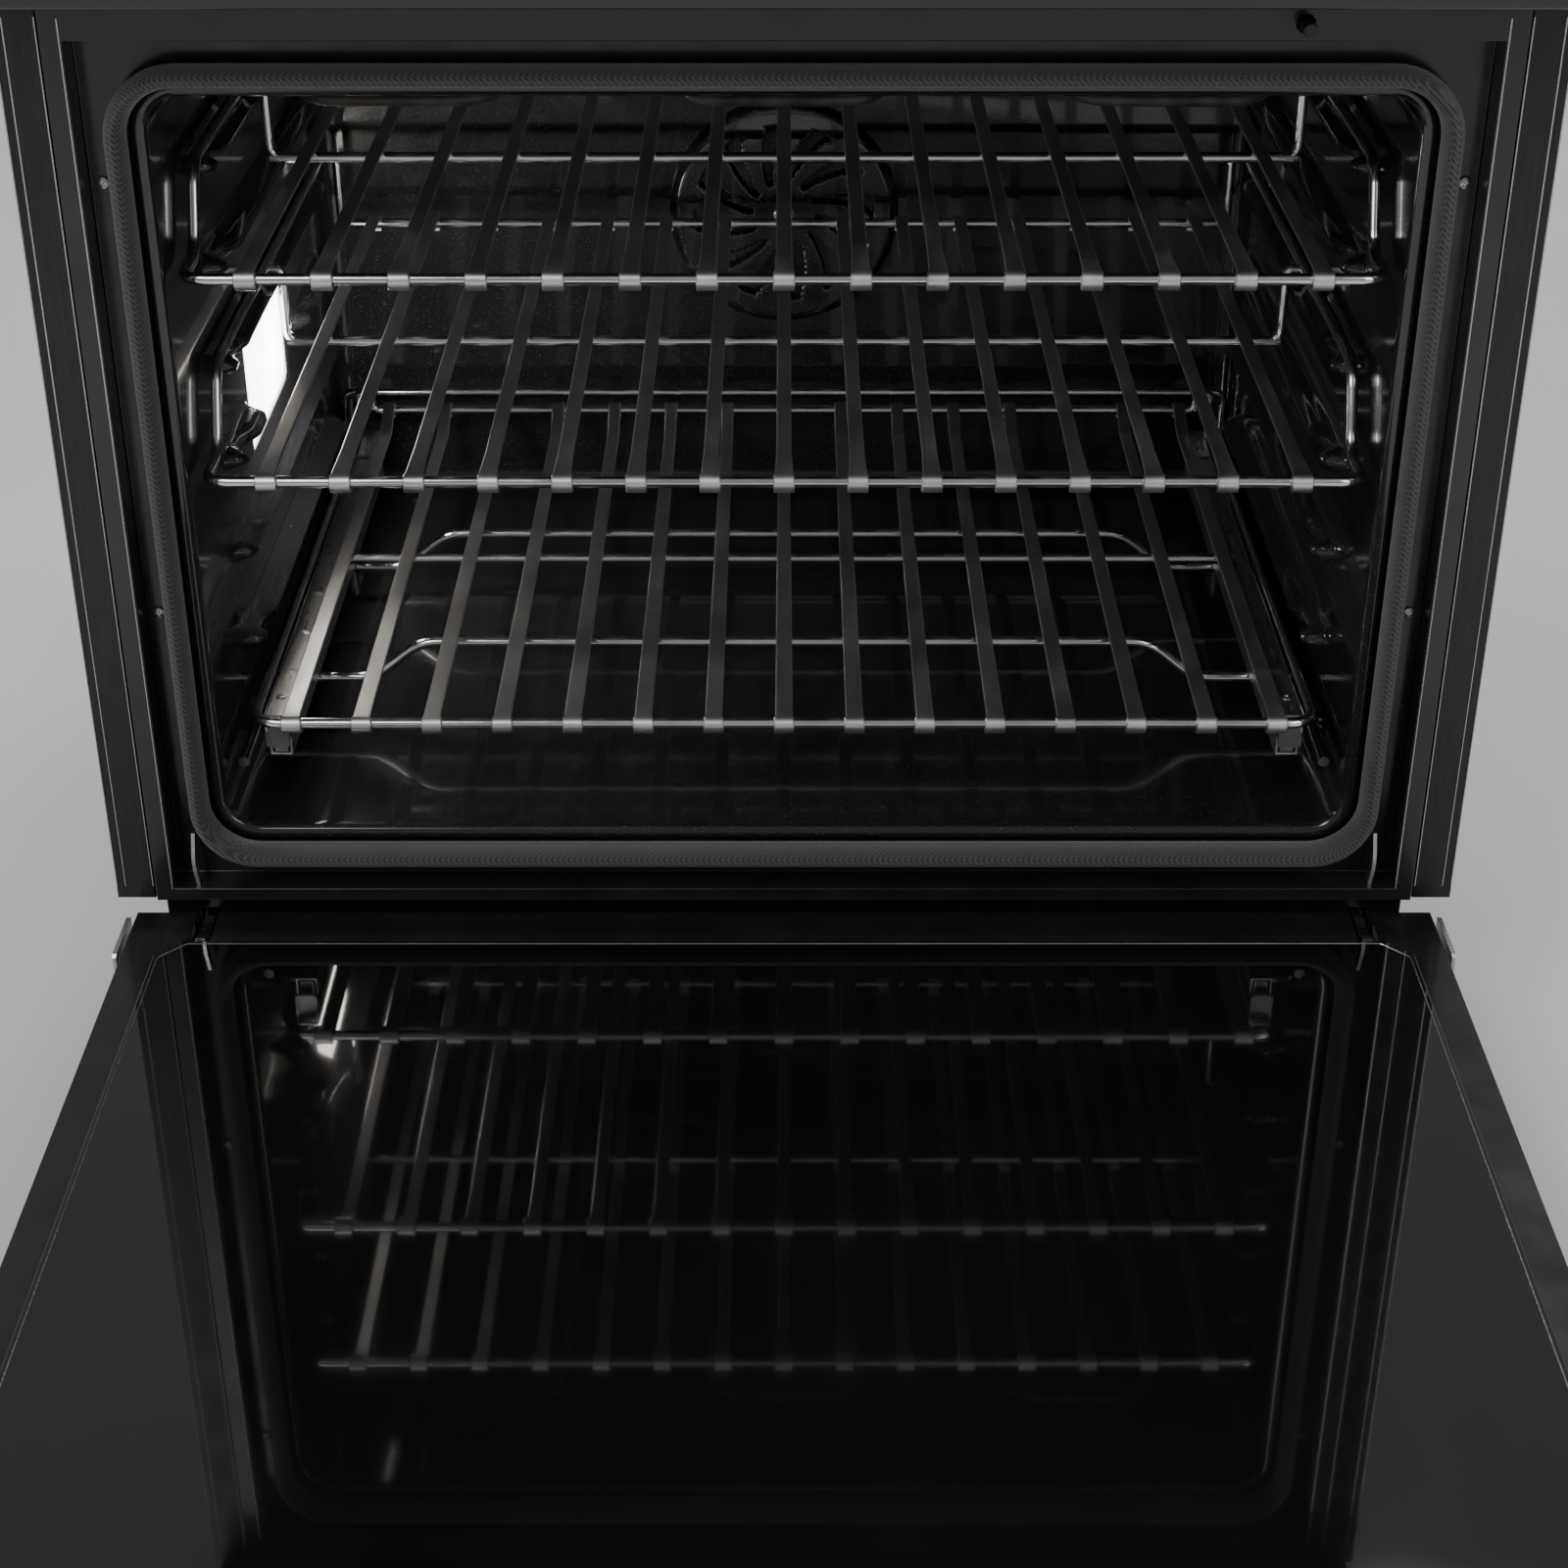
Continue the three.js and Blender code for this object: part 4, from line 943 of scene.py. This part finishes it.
sweep(bm, rounded(rim, 7 * MM, closed=True), circle(1.8 * MM, 12), closed=True)
piece("lamp_rim", bm, "oven", "bright_steel")
bulb_low, bulb_high = (Vector(c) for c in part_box("lamp_bulb"))
bulb_middle = (bulb_low + bulb_high) / 2
bm = bmesh.new()
outline = [(3 * MM, -22 * MM), (4.5 * MM, -20 * MM), (4.5 * MM, -10 * MM)]
BULB_RADIUS = 10.5 * MM
for k in range(14):
    turn = pi * (0.18 + 0.82 * k / 14)
    outline.append((BULB_RADIUS * sin(turn), -BULB_RADIUS * cos(turn)))
lathe(bm, outline, bulb_middle, "y", 24)
bulb = piece("lamp_bulb_glass", bm, "oven", "clear_glass")
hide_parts("lamp_bulb")
inside = bpy.data.lights.new("oven_lamp", "POINT")
inside.energy = 2.0
inside.color = (1, 0.95, 0.87)
inside.shadow_soft_size = 0.03
inside_lamp = bpy.data.objects.new("oven_lamp", inside)
inside_lamp.location = (lens_high.x + 55 * MM, lens_middle.y, lens_middle.z + 6 * MM)
scene.collection.objects.link(inside_lamp)
inside_lamp.visible_glossy = False
print("lamp glass", round(lens_half_y * 2000), "by", round(lens_half_z * 2000), "mm")

# %% [markdown]
# The handle is a turned bar with slightly domed ends, on two square posts.

# %% Handle
bar_low, bar_high = (Vector(c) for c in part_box("handle_bar"))
bar_middle = (bar_low + bar_high) / 2
bar_half = (bar_high.x - bar_low.x) / 2
GRIP_RADIUS = 10 * MM
bm = bmesh.new()
domes = [sin(pi / 2 * k / 6) for k in range(1, 7)]
end_profile = [(GRIP_RADIUS * dome, -bar_half + 1.6 * MM * (1 - dome)) for dome in domes]
profile = end_profile + [(r, -a) for r, a in reversed(end_profile)]
lathe(bm, profile, bar_middle, "x", 40)
handle = piece("handle_grip", bm, "door", "bright_steel")
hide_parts("handle_bar")
print("handle length", round(bar_half * 2000), "mm")

# %% [markdown]
# Small hardware finishes the front: screws that hold the frame, and the bright hinge locks that hook into the
# frame's corners.

# %% Screws and hinge locks
frame_low, frame_high = (Vector(c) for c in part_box("front_frame"))
SEAT_Y = -22 * MM
SCREW_X = 340.5 * MM
SCREW_LEVELS = (281 * MM, 520 * MM)


def add_screw(name, x, y, z, radius=3.4 * MM):
    bm = bmesh.new()
    dome = [(radius, 0), (radius, -0.7 * MM), (radius * 0.85, -1.5 * MM), (radius * 0.45, -1.9 * MM),
            (radius * 0.42, -0.9 * MM)]
    lathe(bm, dome, (x, y, z), "y", 24)
    for flip in (0, 1):
        a, b = (radius * 0.42, 0.35 * MM) if flip else (0.35 * MM, radius * 0.42)
        verts = [bm.verts.new((x + sx * a, y - yy, z + sz * b)) for yy in (0.8 * MM, 1.6 * MM)
                 for sx, sz in QUARTERS]
        for face in ((0, 1, 2, 3), (4, 5, 6, 7), (0, 1, 5, 4), (1, 2, 6, 5), (2, 3, 7, 6), (3, 0, 4, 7)):
            bm.faces.new([verts[i] for i in face])
    piece(name, bm, "oven", "bright_steel")


for side_name, side in (("left", -1), ("right", 1)):
    add_screw(f"frame_screw_{side_name}", side * SCREW_X, SEAT_Y, SCREW_LEVELS[0])
    add_screw(f"frame_screw_upper_{side_name}", side * SCREW_X, SEAT_Y, SCREW_LEVELS[1])
    hook = [(side * 334 * MM, -34 * MM, 113 * MM), (side * 336 * MM, -34 * MM, 128 * MM),
            (side * 335 * MM, -30 * MM, 146 * MM)]
    bm = bmesh.new()
    flat = [(a * 2.6 * MM, b * 1 * MM) for a, b in QUARTERS]
    sweep(bm, rounded(hook, 8 * MM), flat, side=(0, 1, 0))
    piece(f"hinge_lock_{side_name}", bm, "oven", "rail_steel")
print("front frame height", round((frame_high.z - frame_low.z) * 1000), "mm")

# %% [markdown]
# Painted highlights: each fold of the painted trims gets a very thin bright line that stands for the light on
# its edge. A thin bright line just inside the edge of the door's glass is a painted highlight of that edge, and
# a small bright block on each of the door's lower corners is a painted highlight of the corner.

# %% Painted highlights: trim folds, glass edge and door corners
trim_low, trim_high = (Vector(c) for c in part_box("side_trim_right"))
glass_low, glass_high = (Vector(c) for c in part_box("door_inner_glass"))
# Painted highlight: a small bright block on each of the door's lower corners stands for the light on the
# corner.
CORNER_HIGHLIGHT_X = 375.6 * MM
CORNER_HIGHLIGHT_Z = 90 * MM
# Painted highlights: the places of very thin bright lines that stand for the light caught on the trims' folded
# edges.
FOLD_HIGHLIGHTS = [(x * MM, trim_low.y) for x in (380.4, 375.5, 359.8)] + [(348.2 * MM, frame_low.y)]
for side_name, side in (("left", -1), ("right", 1)):
    bm = bmesh.new()
    for x, y in FOLD_HIGHLIGHTS:
        ends = [Vector((side * x, y, z)) for z in (trim_low.z + 8 * MM, trim_high.z - 14 * MM)]
        sweep(bm, ends, circle(0.45 * MM, 8))
    # A painted highlight along each fold, in bright steel.
    piece(f"trim_fold_highlights_{side_name}", bm, "oven", "bright_steel")
    bm = bmesh.new()
    # A painted highlight on the door's lower corner, in bright steel.
    corner_highlight_line = [Vector((side * CORNER_HIGHLIGHT_X, y * MM, CORNER_HIGHLIGHT_Z)) for y in (-81, -79.5, -41.5, -40)]

    def corner_highlight_section(t):
        size = 1.0 if 0.1 < t < 0.9 else 0.7
        return [(a * 1.3 * MM * size, b * 6 * MM * size) for a, b in QUARTERS]

    sweep(bm, corner_highlight_line, corner_highlight_section, side=(1, 0, 0))
    piece(f"door_corner_highlight_{side_name}", bm, "door", "bright_steel")
# Painted highlight: a thin bright line just inside the door glass's edge stands for the light on that edge.
inset = 3 * MM
cut = 14 * MM
near, far, wide = glass_high.y - inset, glass_low.y + inset, glass_high.x - inset
edge_highlight_half = [(wide - cut, near), (wide, near - cut), (wide, far)]
edge_highlight_line = [(x, y, glass_high.z) for x, y in edge_highlight_half + [(-x, y) for x, y in reversed(edge_highlight_half)]]
bm = bmesh.new()
sweep(bm, rounded(edge_highlight_line, 2 * MM, 3, closed=True), circle(0.4 * MM, 6), closed=True)
# The painted highlight of the glass edge, in bright steel.
piece("door_glass_edge_highlight", bm, "door", "bright_steel")
print("trim lines:", 2 * len(FOLD_HIGHLIGHTS))

# %% [markdown]
# The control panel is a plain touch glass. A dim window and a row of plain touch rings stand for its display,
# with no lettering.

# %% Control panel marks
panel_low, panel_high = (Vector(c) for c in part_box("control_panel_glass"))
marks = Finish("panel_marks", roughness=0.25, Emission_Color=(0.75, 0.85, 0.95, 1), Emission_Strength=0.25)
marks.colours(marks.grain(6), [(0.3, (0.35, 0.38, 0.4)), (0.7, (0.5, 0.53, 0.56))])
panel_y = panel_low.y + 0.15 * MM
TOUCH_PITCH = 62 * MM
TOUCH_RADIUS = 7 * MM
WINDOW_X, WINDOW_Z = 78 * MM, 19 * MM
panel_z = (panel_low.z + panel_high.z) / 2
bm = bmesh.new()
for k in range(-4, 5):
    if abs(k) < 2:
        continue
    ring = [Vector((k * TOUCH_PITCH + x, panel_y, panel_z + z)) for x, z in circle(TOUCH_RADIUS, 24)]
    sweep(bm, ring, circle(0.45 * MM, 6), closed=True)
window = [(sx * WINDOW_X, panel_y, panel_z + sz * WINDOW_Z) for sx, sz in QUARTERS]
sweep(bm, rounded(window, 5 * MM, closed=True), circle(0.4 * MM, 6), closed=True)
piece("panel_marks", bm, "oven", "panel_marks")
print("panel height", round((panel_high.z - panel_low.z) * 1000), "mm")
